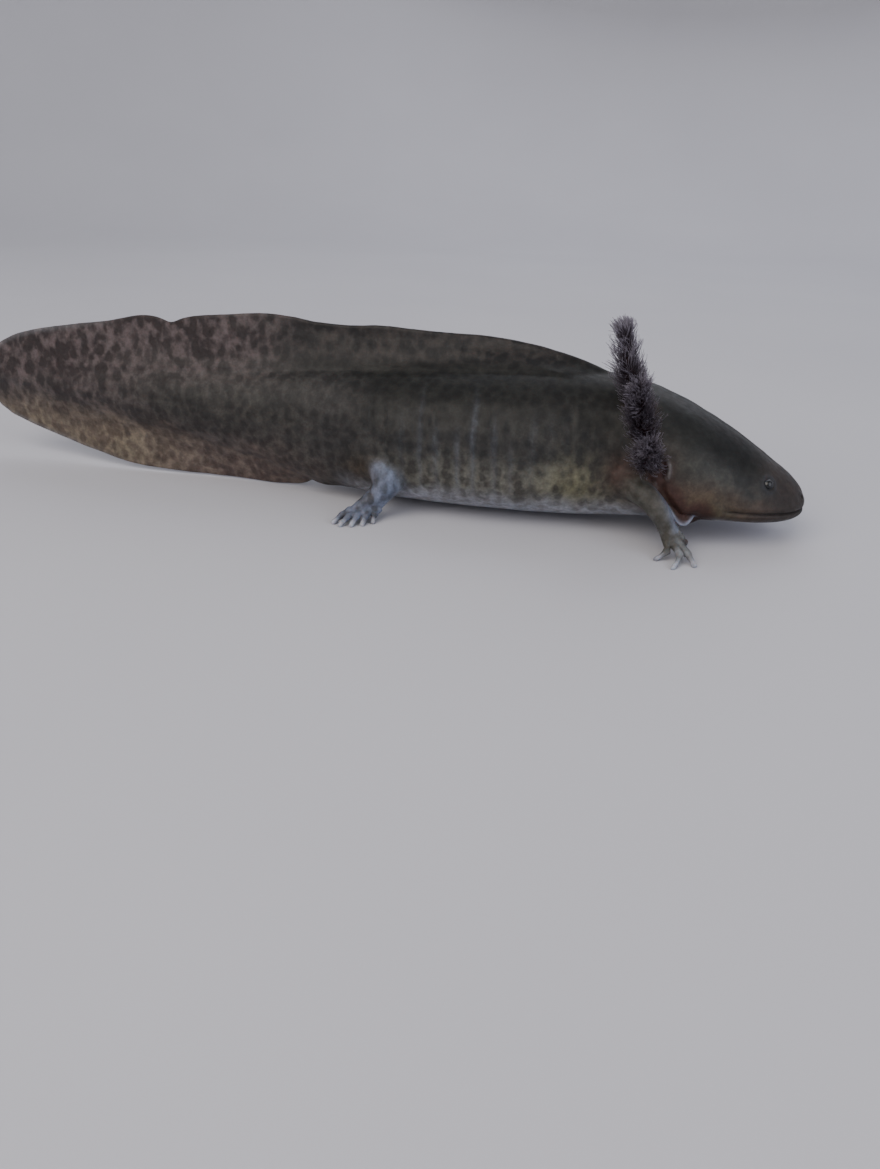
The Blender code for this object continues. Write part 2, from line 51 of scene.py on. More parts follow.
def feed(node, inputs):
    # Each input is a value, or what feeds it: a socket, or a node through its first output
    for key, value in inputs.items():
        if isinstance(value, bpy.types.Node):
            value = value.outputs[0]
        if isinstance(value, bpy.types.NodeSocket):
            node.id_data.links.new(value, node.inputs[key])
        else:
            node.inputs[key].default_value = value


def addNode(tree, kind, inputs=None, **settings):
    # One node with its settings and inputs
    node = tree.nodes.new("ShaderNode" + kind)
    for key, value in settings.items():
        setattr(node, key, value)
    feed(node, inputs or {})
    return node


def fade(start, end, value):
    # 0 before start, 1 after end, an S curve between; start may be above end
    t = np.clip((value - start) / (end - start), 0, 1)
    return t * t * (3 - 2 * t)


def mix(start, end, share):
    return start + (end - start) * share


def hump(value, centre, width):
    # Bell curve, 1 at the centre
    return np.exp(-((value - centre) / width) ** 2)


def smoothCurve(table, x):
    # Cubic through the rows (x, values...), each with the slope of its two neighbours
    table = np.asarray(table, float)
    table = table[np.argsort(table[:, 0])]
    at, values = table[:, 0], table[:, 1:]
    slope = np.gradient(values, at, axis=0)
    x = np.clip(np.asarray(x, float).ravel(), at[0], at[-1])
    i = np.clip(np.searchsorted(at, x, side="right"), 1, len(at) - 1) - 1
    span = (at[i + 1] - at[i])[:, None]
    t = (x - at[i])[:, None] / span
    return ((2 * t**3 - 3 * t**2 + 1) * values[i] + (t**3 - 2 * t**2 + t) * span * slope[i]
            + (3 * t**2 - 2 * t**3) * values[i + 1] + (t**3 - t**2) * span * slope[i + 1])


lattice = {"cells": 24, "shift": 2000}  # cells before the lattice repeats; the shift keeps them above 0


def softNoise(points, size, seed):
    # Random values, -1 to 1, on a lattice of cells of this size, blended between corners
    table = np.random.default_rng(seed).uniform(-1, 1, (lattice["cells"],) * 3)
    place = points / size + lattice["shift"]
    cell = np.floor(place).astype(int)
    part = place - cell
    part = part * part * (3 - 2 * part)
    total = np.zeros(len(points))
    for corner in np.ndindex(2, 2, 2):
        share = np.where(corner, part, 1 - part).prod(axis=1)
        total += share * table[tuple(((cell + corner) % lattice["cells"]).T)]
    return total


def lengths(vectors):
    return np.linalg.norm(vectors, axis=-1)


def unit(vectors):
    return vectors / lengths(vectors)[..., None]


def ringAngles(sides):
    return np.arange(sides) * 2 * np.pi / sides


def makePiece(name, points, faces):
    mesh = bpy.data.meshes.new(name)
    mesh.from_pydata((np.asarray(points) * mm).tolist(), [], faces)
    mesh.update()
    mesh.shade_smooth()
    piece = bpy.data.objects.new(name, mesh)
    scene.collection.objects.link(piece)
    return piece


def gridFaces(rows, sides):
    # Quads between a closed tube's rings
    i, j = np.meshgrid(np.arange(rows - 1), np.arange(sides), indexing="ij")
    a, b = i * sides + j, i * sides + (j + 1) % sides
    return np.stack([a, b, b + sides, a + sides], axis=-1).reshape(-1, 4)


def endFans(rows, sides):
    # Triangles from a closed tube's first and last ring to the points after them
    here, centre = np.arange(sides), rows * sides
    following, last = np.roll(here, -1), centre - sides
    return np.concatenate([np.stack([following, here, np.full(sides, centre)], axis=-1),
                           np.stack([last + here, last + following, np.full(sides, centre + 1)], axis=-1)])


def tubePiece(name, rings):
    # Closed skin over rings (row, side, xyz)
    rows, sides = rings.shape[:2]
    points = np.concatenate([rings.reshape(-1, 3), rings[:1].mean(axis=1), rings[-1:].mean(axis=1)])
    return makePiece(name, points, gridFaces(rows, sides).tolist() + endFans(rows, sides).tolist())


# camera: a phone a hand's width from the animal's right side
view = {
    "lens": 27.07,  # mm on a 36 mm sensor, along the tall side
    "place": ((0.98129, -0.11200, 0.15660, 0.0624291),
              (0.18952, 0.41860, -0.88817, -0.2228),
              (0.03392, 0.90124, 0.43200, 0.0828),
              (0, 0, 0, 1)),
}
cameraData = bpy.data.cameras.new("camera")
cameraData.sensor_width = 36
cameraData.lens = view["lens"]
cameraData.clip_start = 0.005
camera = bpy.data.objects.new("camera", cameraData)
camera.matrix_world = Matrix(view["place"])
scene.collection.objects.link(camera)
scene.camera = camera
print("camera set")

# the body, with the fins as part of each section
body = {
    "snout": 115,
    "tailTip": -114.9,
    # x, half width, height of the widest line (on the head, the mouth), back, belly
    "sections": (
        (115, 0, 8.8, 8.8, 8.8), (114.75, 2.6, 8.8, 10.6, 7.1), (114.1, 4.9, 8.8, 12.1, 6.4),
        (112.6, 7.6, 8.9, 14, 5.7), (110, 10.4, 9, 16.3, 5.1), (105.5, 13.4, 9.3, 19.3, 4.8),
        (99, 16.2, 9.9, 23.7, 5.1), (90, 18.4, 11, 28.8, 5.3), (82, 19.2, 12.4, 32.7, 4.7),
        (75, 18.6, 13.8, 35.3, 3.6), (68, 17.4, 15.2, 36.8, 2.4), (60, 17.8, 16.2, 37.7, 1.6),
        (50, 19.2, 17, 37.8, 1.2), (35, 20, 17.6, 37.3, 1.1), (20, 19.2, 18, 36.3, 1.1),
        (8, 16.8, 18.4, 35.4, 1.4), (-2, 13.6, 18.9, 34.7, 2), (-12, 11.2, 19.4, 34, 3),
        (-25, 9.4, 20, 33.1, 6.2), (-40, 7.8, 20.5, 32, 9.1), (-60, 5.9, 21.2, 30.5, 12.4),
        (-80, 4, 21.9, 28.7, 15.7), (-97, 2.3, 22.6, 26.4, 19), (-108, 1.2, 23, 24.6, 21.4),
        (-115, 0.5, 23.2, 23.8, 22.6),
    ),
    "roundness": 2.15,  # exponent of a section's superellipse; the tail slims to a lens
    "tailRoundness": 1.7,
    "upperRim": ((69, 35.6), (62, 38.4), (55, 40.8), (45, 43), (35, 44.2), (20, 44.7), (5, 45.2),
                 (-4, 44.6), (-12, 44.9), (-22, 46.2), (-38, 45.2), (-49, 43.5), (-52.5, 42.3),
                 (-56, 43.2), (-74, 40.8), (-88, 38.6), (-98, 36.5), (-105, 34.2), (-109.5, 31.8),
                 (-112.6, 28.8), (-114.3, 26), (-115, 23.8)),
    "lowerRim": ((-5, 3.2), (-9, 3), (-13, 2.6), (-16, 1.3), (-21, 0.6), (-33, 0.5), (-46, 0.6),
                 (-58, 1), (-67, 1.5), (-79, 3.6), (-89, 5.8), (-98, 8), (-105, 10.2),
                 (-110, 12.4), (-113, 15.2), (-114.4, 18.6), (-115, 22.4)),
    "finRoot": 1.25,  # half thickness of a fin at its root and rim
    "finRim": 0.42,
    "finFlare": 0.24,  # sweep of the flesh into the fin, share of the half width
    "finSweep": 3.6,  # height over which the sweep dies out
    "sway": 7,  # how far the tail tip lies to the left
    "swayStart": -20,
    "swayReach": 95,  # from there to the tail tip
    "lowerSteps": 38,  # points up to the widest line, and on to the upper rim
    "upperSteps": 50,
}


def swayAt(x):
    return body["sway"] * np.clip((body["swayStart"] - x) / body["swayReach"], 0, None) ** 2


def fleshAt(x):
    # Section values at x; near the snout they grow with the root of the distance to it
    table = np.array(body["sections"], float)
    table[:, 0] = np.sqrt(body["snout"] - table[:, 0])
    return smoothCurve(table, np.sqrt(np.clip(body["snout"] - np.asarray(x), 0, None)))


def rimsAt(x):
    # Lower and upper outline, fins included
    x = np.asarray(x, float).ravel()
    half, widest, back, belly = fleshAt(x).T
    upper = np.where(x > body["upperRim"][0][0], back - 1.1, smoothCurve(body["upperRim"], x)[:, 0])
    lower = np.where(x > body["lowerRim"][0][0], belly + 0.9, smoothCurve(body["lowerRim"], x)[:, 0])
    soft = 0.05  # rounds the corner between fin and flesh
    high = 0.5 * (back + upper + np.sqrt((back - upper) ** 2 + soft))
    low = 0.5 * (belly + lower - np.sqrt((belly - lower) ** 2 + soft))
    closing = fade(112, 114, x)
    return mix(low, belly, closing), mix(high, back, closing)


def widthAt(z, half, widest, back, belly, low, high, roundness):
    # Half width at height z: the wider of a superellipse of flesh and a blade of fin, with a sweep between
    top = z > widest
    reach = np.abs(z - widest) / np.where(top, back - widest, widest - belly).clip(1e-6)
    flesh = half * (1 - np.clip(reach, 0, 1) ** roundness) ** (1 / roundness)
    above = np.where(top, z - back, belly - z)  # height over the flesh
    tall = np.where(top, high - back, belly - low).clip(0.05)
    toRim = np.where(top, high - z, z - low)
    blade = mix(body["finRim"], body["finRoot"], (1 - np.clip(above / tall, 0, 1)) ** 1.3)
    blade = np.minimum(blade, np.maximum(half, body["finRim"]))
    near = np.clip(toRim / 4, 0, 1)
    flare = body["finFlare"] * half * np.exp(-np.clip(above, 0, None) / body["finSweep"]) * near
    curl = np.clip(toRim / 0.6, 0, 1)
    blade = (blade + flare * fade(0.3, 2, tall)) * np.sqrt(1 - (1 - curl) ** 2)
    return 0.5 * (flesh + blade + np.sqrt((flesh - blade) ** 2 + 0.8 * near**2 * fade(0.3, 2, tall)))


def walkEvenly(z, width, share):
    # Each row sampled at the given shares of its arc length
    step = np.hypot(np.diff(z, axis=1), np.diff(width, axis=1))
    length = np.concatenate([np.zeros((len(z), 1)), np.cumsum(step, axis=1)], axis=1)
    length /= length[:, -1:]
    row = 2 * np.arange(len(z))[:, None]
    wanted = (share[None] + row).ravel()
    return [np.interp(wanted, (length + row).ravel(), a.ravel()).reshape(len(z), -1) for a in (z, width)]


def bodyRings():
    x = np.concatenate([
        body["snout"] - np.linspace(0.12, 1.6, 15) ** 2,
        np.linspace(112.2, 90.3, 60), np.linspace(90, 70.4, 38), np.linspace(70, -11.4, 124),
        np.linspace(-12, -104, 106), body["tailTip"] + 10.9 * np.linspace(0.97, 0, 17) ** 1.5,
    ])
    half, widest, back, belly = (v[:, None] for v in fleshAt(x).T)
    low, high = (v[:, None] for v in rimsAt(x))
    dense = 1 - np.cos(np.linspace(0, np.pi / 2, 320))[None]
    lowerZ = low + (widest - low) * dense
    upperZ = (high - (high - widest) * dense)[:, ::-1]
    roundness = mix(body["roundness"], body["tailRoundness"], fade(-6, -45, x)[:, None])
    sections = (half, widest, back, belly, low, high, roundness)

    def spread(count):
        t = np.linspace(0, 1, count + 1)
        return 0.55 * t + 0.45 * (1 - np.cos(np.pi * t)) / 2

    lower, upper = [walkEvenly(z, widthAt(z, *sections), spread(body[steps]))
                    for z, steps in ((lowerZ, "lowerSteps"), (upperZ, "upperSteps"))]
    z, width = [np.concatenate([a, b[:, 1:]], axis=1) for a, b in zip(lower, upper)]
    width[:, [0, -1]] = 0
    z = np.concatenate([z, z[:, -2:0:-1]], axis=1)
    y = np.concatenate([-width, width[:, -2:0:-1]], axis=1)
    # the fins wave a little
    bladeShare = fade(0, 9, np.where(z > widest, z - back, belly - z))
    y += 0.7 * bladeShare * np.sin(x[:, None] / 8.5 + z / 14)
    y += swayAt(x)[:, None]
    return np.stack([np.broadcast_to(x[:, None], z.shape), y, z], axis=-1)


# legs, toes and gill stalks, each a tube along its own path
limbs = {
    # right side, hip or shoulder to palm: x, y, z, half width, half thickness
    "fore": {
        "path": ((66.5, -10, 14.8, 4, 4.2), (69.2, -14.8, 14.8, 3.7, 3.9), (72.8, -18.4, 14.4, 3.1, 3.1),
                 (76.2, -20.6, 12.9, 2.8, 2.8), (78.9, -21.6, 10.2, 2.6, 2.5), (81, -22, 6.9, 2.2, 2),
                 (82.2, -22.2, 5, 2.6, 1.6), (83, -22.6, 3.6, 2.7, 1.1)),
        "across": (0.77, 0.56, 0.32),
        "toes": ((86.6, -15.2, 85.9, -18.4), (88, -28.2, 86.3, -25.4), (83, -30.9, 84.4, -27),
                 (79.2, -26.8, 81.5, -25.4)),  # tip x, y, knuckle x, y
        "leftShift": -5,
    },
    "hind": {
        "path": ((4.2, -7, 13, 5, 5), (7.4, -12.2, 12.9, 4.9, 4.6), (10.6, -15.4, 11.8, 4.5, 4),
                 (12, -17, 9.4, 4.3, 3.4), (10.4, -17.9, 6.9, 4.2, 2.7), (8.1, -19.4, 4.6, 4.3, 2),
                 (6.4, -21, 2.8, 4.3, 1.1)),
        "across": (0.92, 0.38, 0),
        "toes": ((9.2, -22.2, 9.3, -20.8), (7, -24.4, 7.5, -22.5), (4.5, -25.8, 5.4, -23.6),
                 (1.8, -26.4, 3.4, -24.2), (-0.4, -25, 1.6, -23.6)),
        "leftShift": 4,
    },
    "knuckleHeight": 2.1,
    "toeRadii": (1.1, 0.85, 0.6),  # root, knuckle, tip
    "toeRest": 0.42,  # height of a resting toe's middle line
    "toeSwells": ((0.5, 0.09, 0.13), (0.3, 0.1, -0.12), (0.75, 0.12, -0.14)),  # where, width, by how much
    "legSteps": 6, "legSides": 26, "toeSteps": 9, "toeSides": 14,
}
gills = {
    # root, tip, how far it arches back, its crest side
    "upper_right": ((72.8, -10, 29.5), (66.3, -14.2, 49.6), 1, (0, -1, 0.2)),
    "middle_right": ((75, -12, 24), (70.8, -25.5, 39), 1.2, (0, -1, 0.6)),
    "lower_right": ((76.4, -12.5, 18.5), (74.4, -30, 27.5), 1.2, (0, 0, 1)),
    "upper_left": ((72.8, 10, 29.5), (70, 24.5, 34), 1.2, (0, 0, 1)),
    "middle_left": ((75, 12, 24), (68.5, 30.4, 28), 1.4, (0, 0, 1)),
    "lower_left": ((76.4, 12.5, 18.5), (73.5, 30.8, 21), 1.2, (0, 0, 1)),
}
stalks = {"rootRadius": 2.5, "tipRadius": 0.75, "flatness": 0.8, "steps": 25, "sides": 18}


def through(points, steps):
    # Smooth path through the points, with so many steps from each to the next
    points = np.asarray(points, float)
    count = np.arange(len(points))
    return smoothCurve(np.column_stack([count, points]), np.linspace(0, count[-1], count[-1] * steps + 1))


def tubeRings(path, sides, across):
    # Ellipses along a path of (x, y, z, half width, half thickness), their width along across, which is one
    # direction or one a row; the far end is rounded off
    ahead = unit(np.gradient(path[:, :3], axis=0))
    swell = np.linspace(0, np.pi / 2, 7)[1:]
    blunt = 0.75 * path[-1, 3:].min()
    cap = np.repeat(path[-1:], len(swell), axis=0)
    cap[:, :3] += ahead[-1] * (np.sin(swell) * blunt)[:, None]
    cap[:, 3:] *= np.cos(swell * 0.985)[:, None]
    across = np.broadcast_to(unit(across), (len(path), 3))
    path, ahead, across = [np.concatenate([rows, more]) for rows, more in (
        (path, cap), (ahead, np.repeat(ahead[-1:], len(swell), axis=0)),
        (across, np.repeat(across[-1:], len(swell), axis=0)))]
    depth = unit(np.cross(ahead, across))
    turn = ringAngles(sides)
    wide = np.cos(turn)[None, :, None] * path[:, 3, None, None] * across[:, None]
    deep = np.sin(turn)[None, :, None] * path[:, 4, None, None] * depth[:, None]
    return path[:, None, :3] + wide + deep


def sideways(rings, left):
    # Rings mirrored to the left side, with their faces still outwards
    return rings[:, ::-1] * (1, -1, 1) if left else rings


def limbTubes(kind, left):
    # A leg with its palm, and its toes: as tubes, and as centre lines with a radius
    spec = limbs[kind]
    shift = spec["leftShift"] * left
    path = np.array(spec["path"], float)
    path[:, 0] += shift * np.linspace(0, 1, len(path))
    smooth = through(path, limbs["legSteps"])
    tubes = [tubeRings(smooth, limbs["legSides"], spec["across"])]
    lines = [smooth[:, :4]]
    palm = smooth[-1]
    along = unit(smooth[-1, :3] - smooth[-4, :3])
    row = unit(spec["across"])
    rootRadius, bendRadius, tipRadius = limbs["toeRadii"]
    places = np.linspace(1, -1, len(spec["toes"]))
    for place, (tipX, tipY, bendX, bendY) in zip(places, spec["toes"]):
        root = palm[:3] + row * place * (palm[3] - 0.8) - along * 0.5
        tip = np.array((tipX + shift, tipY, limbs["toeRest"]))
        bend = (bendX + shift, bendY, limbs["knuckleHeight"])
        line = through([(*root, rootRadius), (*bend, bendRadius), (*tip, tipRadius)], limbs["toeSteps"])
        line[:, 2] = np.maximum(line[:, 2], limbs["toeRest"])
        share = np.linspace(0, 1, len(line))
        line[:, 3] *= sum((swell * hump(share, at, wide) for at, wide, swell in limbs["toeSwells"]), start=1)
        tubes.append(tubeRings(line[:, [0, 1, 2, 3, 3]], limbs["toeSides"], np.cross(tip - root, (0, 0, 1))))
        lines.append(line)
    return ([sideways(tube, left) for tube in tubes],
            [line * ((1, -1, 1, 1) if left else 1) for line in lines])


def gillAxis(place):
    # A stalk's centre line, its direction, and the two square to it: crest side and backwards
    root, tip, arch, crest = gills[place]
    root, tip = np.array(root), np.array(tip)
    axis = unit(tip - root)
    crest = unit(crest - axis * (axis @ crest))
    back = np.cross(axis, crest)
    back = back if back[0] < 0 else -back
    share = np.linspace(0, 1, stalks["steps"])
    line = root + np.outer(share, tip - root) + np.outer(np.sin(np.pi * share) * arch, back)
    radius = mix(stalks["rootRadius"], stalks["tipRadius"], share**0.9)
    return np.column_stack([line, radius]), axis, crest, back


flap = {
    # the loose fold over the right gill clefts: its free rim, and where it grows from the head
    "rim": ((75.5, -15.8, 14.6), (78.8, -18.2, 12.8), (81, -19.4, 10.4), (82.6, -20, 8.3),
            (84, -20.1, 7.2), (85.4, -19.6, 6.9), (86.6, -18.4, 7.8), (87.6, -16.4, 9.2)),
    "root": ((75.5, -14.5, 17.5), (78.3, -15.5, 16.6), (80.4, -15.8, 15.4), (82.2, -15.7, 14),
             (83.7, -15.4, 12.8), (85, -15, 12), (86.4, -14.4, 11.4), (87.8, -13.6, 11)),
    "thickness": 0.9, "rimRadius": 0.3, "sides": 22,
}


def flapRings(left):
    # Flat ellipses between root and rim, one after another; also the rim as a line
    rim, root = through(flap["rim"], 5), through(flap["root"], 5)
    middle, reach = (rim + root) / 2, rim - root
    wide = lengths(reach) / 2
    path = np.column_stack([middle, wide, np.full(len(wide), flap["thickness"] / 2)])
    mirror = (1, -1, 1) if left else (1, 1, 1)
    return (sideways(tubeRings(path, flap["sides"], reach), left),
            np.column_stack([rim * mirror, np.full(len(rim), flap["rimRadius"])]))


skinTubes, limbLines, toeLines = [tubePiece("skin", bodyRings())], [], []
flapLines = []
for left in (False, True):
    rings, line = flapRings(left)
    skinTubes.append(tubePiece("tube", rings))
    flapLines.append(line)
for kind in ("fore", "hind"):
    for left in (False, True):
        tubes, lines = limbTubes(kind, left)
        skinTubes += [tubePiece("tube", t) for t in tubes]
        limbLines.append(lines[0])
        toeLines += lines[1:]
stalkLines = {}
for place in gills:
    line, _, _, back = gillAxis(place)
    stalkLines[place] = line
    rings = tubeRings(np.column_stack([line, line[:, 3] * stalks["flatness"]]), stalks["sides"], back)
    skinTubes.append(tubePiece("tube", rings))
print("body, legs, toes and gill stalks lofted")


# one skin: the tubes fused, and the creases between them filled
def fuse(pieces):
    base, rest = pieces[0], pieces[1:]
    group = bpy.data.collections.new("tubes")
    for piece in rest:
        group.objects.link(piece)
    union = base.modifiers.new("union", "BOOLEAN")
    union.operation = "UNION"
    union.operand_type = "COLLECTION"
    union.collection = group
    union.solver = "MANIFOLD"
    bpy.context.view_layer.update()
    mesh = bpy.data.meshes.new_from_object(base.evaluated_get(bpy.context.evaluated_depsgraph_get()))
    base.modifiers.clear()
    base.data = mesh
    for piece in rest:
        bpy.data.objects.remove(piece)
    bpy.data.collections.remove(group)
    return base


def readVectors(items, field):
    flat = np.empty(len(items) * 3)
    items.foreach_get(field, flat)
    return flat.reshape(-1, 3)


def writePoints(mesh, points):
    mesh.vertices.foreach_set("co", (points * mm).ravel())
    mesh.update()


def nearestLine(points, lines):
    # Place along the nearest of the lines (x, y, z, radius), and distance outside it
    share, gap = np.zeros(len(points)), np.full(len(points), 99.0)
    for line in lines:
        low, high = line[:, :3].min(axis=0) - 7, line[:, :3].max(axis=0) + 7
        near = np.flatnonzero(((points > low) & (points < high)).all(axis=1))
        apart = lengths(points[near, None] - line[None, :, :3]) - line[None, :, 3]
        best = apart.argmin(axis=1)
        apart = apart[np.arange(len(near)), best]
        closer = apart < gap[near]
        share[near[closer]] = best[closer] / (len(line) - 1)
        gap[near[closer]] = apart[closer]
    return share, gap


def fillCreases(mesh, centres, rounds):
    # Points near the centres (x, y, z, radius) move to their neighbours' mean, never inwards
    points, normals = readVectors(mesh.vertices, "co") / mm, readVectors(mesh.vertex_normals, "vector")
    pairs = np.empty(len(mesh.edges) * 2, int)
    mesh.edges.foreach_get("vertices", pairs)
    i, j = pairs.reshape(-1, 2).T
    count = np.bincount(pairs, minlength=len(points))[:, None]
    weight = np.zeros(len(points))
    for x, y, z, radius in centres:
        apart = lengths(points - (x, y, z))
        weight = np.maximum(weight, fade(radius, radius * 0.55, apart))
    for _ in range(rounds):
        mean = np.stack([np.bincount(i, points[j, k], len(points)) + np.bincount(j, points[i, k], len(points))
                         for k in range(3)], axis=1) / count
        move = mean - points
        outwards = (move * normals).sum(axis=1, keepdims=True)
        move -= np.minimum(outwards, 0) * normals
        points += 0.6 * weight[:, None] * move
    writePoints(mesh, points)


skin = fuse(skinTubes)
fills = (  # lines, the point of each where a crease lies, how far round it to fill
    (limbLines, 10, 7.5),  # where a leg leaves the flank
    (limbLines, -1, 5),  # palm and toe roots
    (stalkLines.values(), 8, 6.5),
)
fillCreases(skin.data, [(*line[at, :3], reach) for lines, at, reach in fills for line in lines],
            rounds=22)
print("skin fused:", len(skin.data.vertices), "points")

# Relief: how far each point of the skin is pushed out or in along its normal
relief = {
    "grooveFirst": 61, "groovePitch": 4.6, "grooveCount": 13, "grooveDepth": 0.42, "grooveWidth": 0.55,
    "mouthCorner": 94, "mouthDepth": 0.7, "lip": 0.24,
    "chevronPitch": 3.7, "crownFurrow": 0.14,
    "eye": (103.59, 10.84, 15.91), "eyeFacing": (0.27, -0.88, 0.39), "eyeRadius": 1.55,
    "nostril": (113.5, 4.3, 11.6),
    "foldDepth": 1.3, "foldHang": 1.9,  # the throat's fold, over and under the chest
    "slits": ((78.9, 19.5, 2.6), (76.4, 15.5, 2.4), (73.6, 21, 3)),  # x, z, half length
}


def surfaceFacts(mesh):
    # What relief and markings are worked out from, a value a point
    p, n = readVectors(mesh.vertices, "co") / mm, readVectors(mesh.vertex_normals, "vector")
    x, y, z = p.T
    half, widest, back, belly = fleshAt(x).T
    low, high = rimsAt(x)
    limbShare, limb = nearestLine(p, limbLines)
    toeShare, toe = nearestLine(p, toeLines)
    stalk, flapRim = nearestLine(p, stalkLines.values())[1], nearestLine(p, flapLines)[1]
    side = np.abs(y - swayAt(x))
    return SimpleNamespace(
        p=p, n=n, x=x, y=y, z=z, side=side, widest=widest, low=low, high=high, limb=limb, limbShare=limbShare,
        toe=toe, toeShare=toeShare, stalk=stalk, flapRim=flapRim,
        outside=np.maximum(side - half, 0),  # beyond the flank
        height=(z - belly) / np.maximum(back - belly, 1),
        onBody=fade(0.1, 1.4, limb) * fade(0.1, 1, toe) * fade(0.1, 1.2, stalk) * fade(1, 2.5, flapRim),
        blade=fade(0, 3, np.maximum(z - back, belly - z)),
        ruffle=softNoise(p, 3, 5),
    )


def foldEdge(z):
    # x of the throat fold's edge at each height, from under the throat up to the lowest gill
    return 79.3 + 5.2 * fade(17, 4, z)


def foldHeight(f):
    # The throat's fold: its swell, the crease behind it, its rim, painted pale partly as a highlight, and how
    # far it hangs
    z = f.z
    ahead = f.x - foldEdge(z) - 0.35 * f.ruffle
    sharp = 1 / (1 + np.exp(-np.clip(ahead / 0.16, -40, 40)))
    strength = fade(19, 12, z) * f.onBody
    hang = sharp * fade(5.8, 2.6, ahead) * fade(9, 5, z) * strength
    return (sharp * np.exp(-np.clip(ahead, 0, None) / 4.5) * strength,
            hump(ahead, -0.55, 0.5) * strength, hump(ahead, 0.35, 0.6) * strength, hang)


def slitShape(f):
    # The gill clefts, and the pale edge of skin in front of each
    cleft, edge = np.zeros(len(f.x)), np.zeros(len(f.x))
    for x0, z0, reach in relief["slits"]:
        up = (f.z - z0) / reach
        across = f.x - x0 + 0.8 * up**2 - 0.3 * f.ruffle
        inside = fade(1, 0.55, np.abs(up)) * (f.side > 6) * f.onBody
        cleft = np.maximum(cleft, hump(across, 0, 0.52) * inside)
        edge = np.maximum(edge, hump(across, 0.85, 0.4) * inside)
    return cleft, edge


def eyeDistance(f):
    # Distance from the line of sight of the eye on the point's side
    cx, cy, cz = relief["eye"]
    facing = unit(relief["eyeFacing"])
    rel = np.column_stack([f.x - cx, -np.abs(f.y) + cy, f.z - cz])
    return lengths(rel - np.outer(rel @ facing, facing)) + np.where(f.x > 95, 0, 99)


def ribPhase(f):
    # Which rib a point lies at, and how far it is from that rib's groove
    phase = (relief["grooveFirst"] - f.x + 0.35 * f.ruffle - 0.04 * (f.z - 16)) / relief["groovePitch"]
    phase = phase + 0.09 * np.sin(phase * 2.9)
    return phase, (phase - np.clip(np.round(phase), 0, relief["grooveCount"] - 1)) * relief["groovePitch"]


def reliefAt(f):
    x, z, side, n = f.x, f.z, f.side, f.n
    rise = np.zeros(len(x))
    # costal grooves, with the flank swelling gently between them
    phase, away = ribPhase(f)
    number = np.clip(np.round(phase), 0, relief["grooveCount"] - 1)
    depth = relief["grooveDepth"] * (0.7 + 0.3 * np.sin(number * 2.3 + 1))
    top = 27 + 3 * np.sin(number * 1.7)
    flank = fade(3, 8, z) * fade(top + 4, top - 5, z) * f.onBody * fade(66, 62, x) * fade(4, 9, x)
    rise += flank * (0.07 * np.cos(2 * np.pi * phase + np.pi) - depth * hump(away, 0, relief["grooveWidth"]))
    # tail muscles: shallow chevrons, and the line that parts the upper from the lower
    chevron = (x + 0.42 * np.abs(z - f.widest)) / relief["chevronPitch"]
    away = (chevron - np.round(chevron)) * relief["chevronPitch"]
    rise -= 0.13 * hump(away, 0, 0.5) * fade(-2, -14, x) * fade(-104, -92, x) * fade(0.5, -1.5, f.blade)
    rise -= 0.16 * hump(z - f.widest, 1.5, 0.8) * fade(66, 55, x) * fade(-95, -80, x) * f.onBody
    # fins: faint upright wrinkles
    toRim = np.minimum(f.high - z, z - f.low)
    rise += 0.07 * f.blade * fade(0.4, 2.5, toRim) * np.sin(2 * np.pi * (x + 1.4 * f.ruffle) / 2.9)
    # mouth and lips
    along = fade(relief["mouthCorner"] - 1, relief["mouthCorner"] + 2.5, x)
    above = z - f.widest
    rise += along * (relief["lip"] * hump(above, 1.15, 0.85) + 0.7 * relief["lip"] * hump(above, -1.1, 0.8)
                     - relief["mouthDepth"] * hump(above, 0, 0.34))
    rise += 0.5 * hump(x, relief["mouthCorner"] - 1.5, 1.8) * hump(above, 0, 2.2)
    # eyes: mound, rim, and the eyeball's hollow
    apart = eyeDistance(f)
    rise += 0.35 * hump(apart, 0, 3.6) + 0.26 * hump(apart, 1.72, 0.36) - 0.75 * fade(1.35, 0.9, apart)
    # nostrils
    nx, ny, nz = relief["nostril"]
    apart = np.sqrt((x - nx) ** 2 + (side - ny) ** 2 + (z - nz) ** 2)
    rise += 0.14 * hump(apart, 0.95, 0.35) - 0.75 * hump(apart, 0, 0.5)
    # head: jaw muscle, the hollow before it, a furrow along the crown
    head = fade(70, 80, x) * f.onBody
    rise += head * (0.7 * hump(x, 86, 7) * hump(f.height, 0.62, 0.25)
                    - 0.35 * hump(x, 97.5, 4) * hump(f.height, 0.68, 0.2))
    rise -= relief["crownFurrow"] * fade(72, 80, x) * fade(110, 104, x) * hump(side, 0, 1.3) * (z > f.widest)
    # throat fold, neck crease and gill clefts
    swell, crease, rim, hang = foldHeight(f)
    rise += relief["foldDepth"] * swell - 0.5 * crease + relief["foldHang"] * hang + 0.2 * rim
    rise += 0.16 * fade(0.5, 0, f.flapRim)
    cleft, edge = slitShape(f)
    rise += 0.25 * edge - 0.95 * cleft
    rise -= 0.35 * hump(x + 0.5 * f.ruffle, 68.6, 0.9) * fade(28, 20, z) * f.onBody * fade(3, 7, z)
    for line in stalkLines.values():
        rise += 0.8 * hump(lengths(f.p - line[6, :3]), 0, 3.8) * f.onBody
    # vent: two low lips under the root of the tail
    below = fade(-0.2, -0.7, n[:, 2])
    rise += below * hump(x, -9.5, 4.2) * (hump(side, 1.7, 1.6) - 0.6 * hump(side, 0, 0.45))
    # soft unevenness of living skin
    rise += 0.10 * softNoise(f.p, 4.2, 11) * f.onBody + 0.035 * softNoise(f.p, 1.3, 12)
    return rise


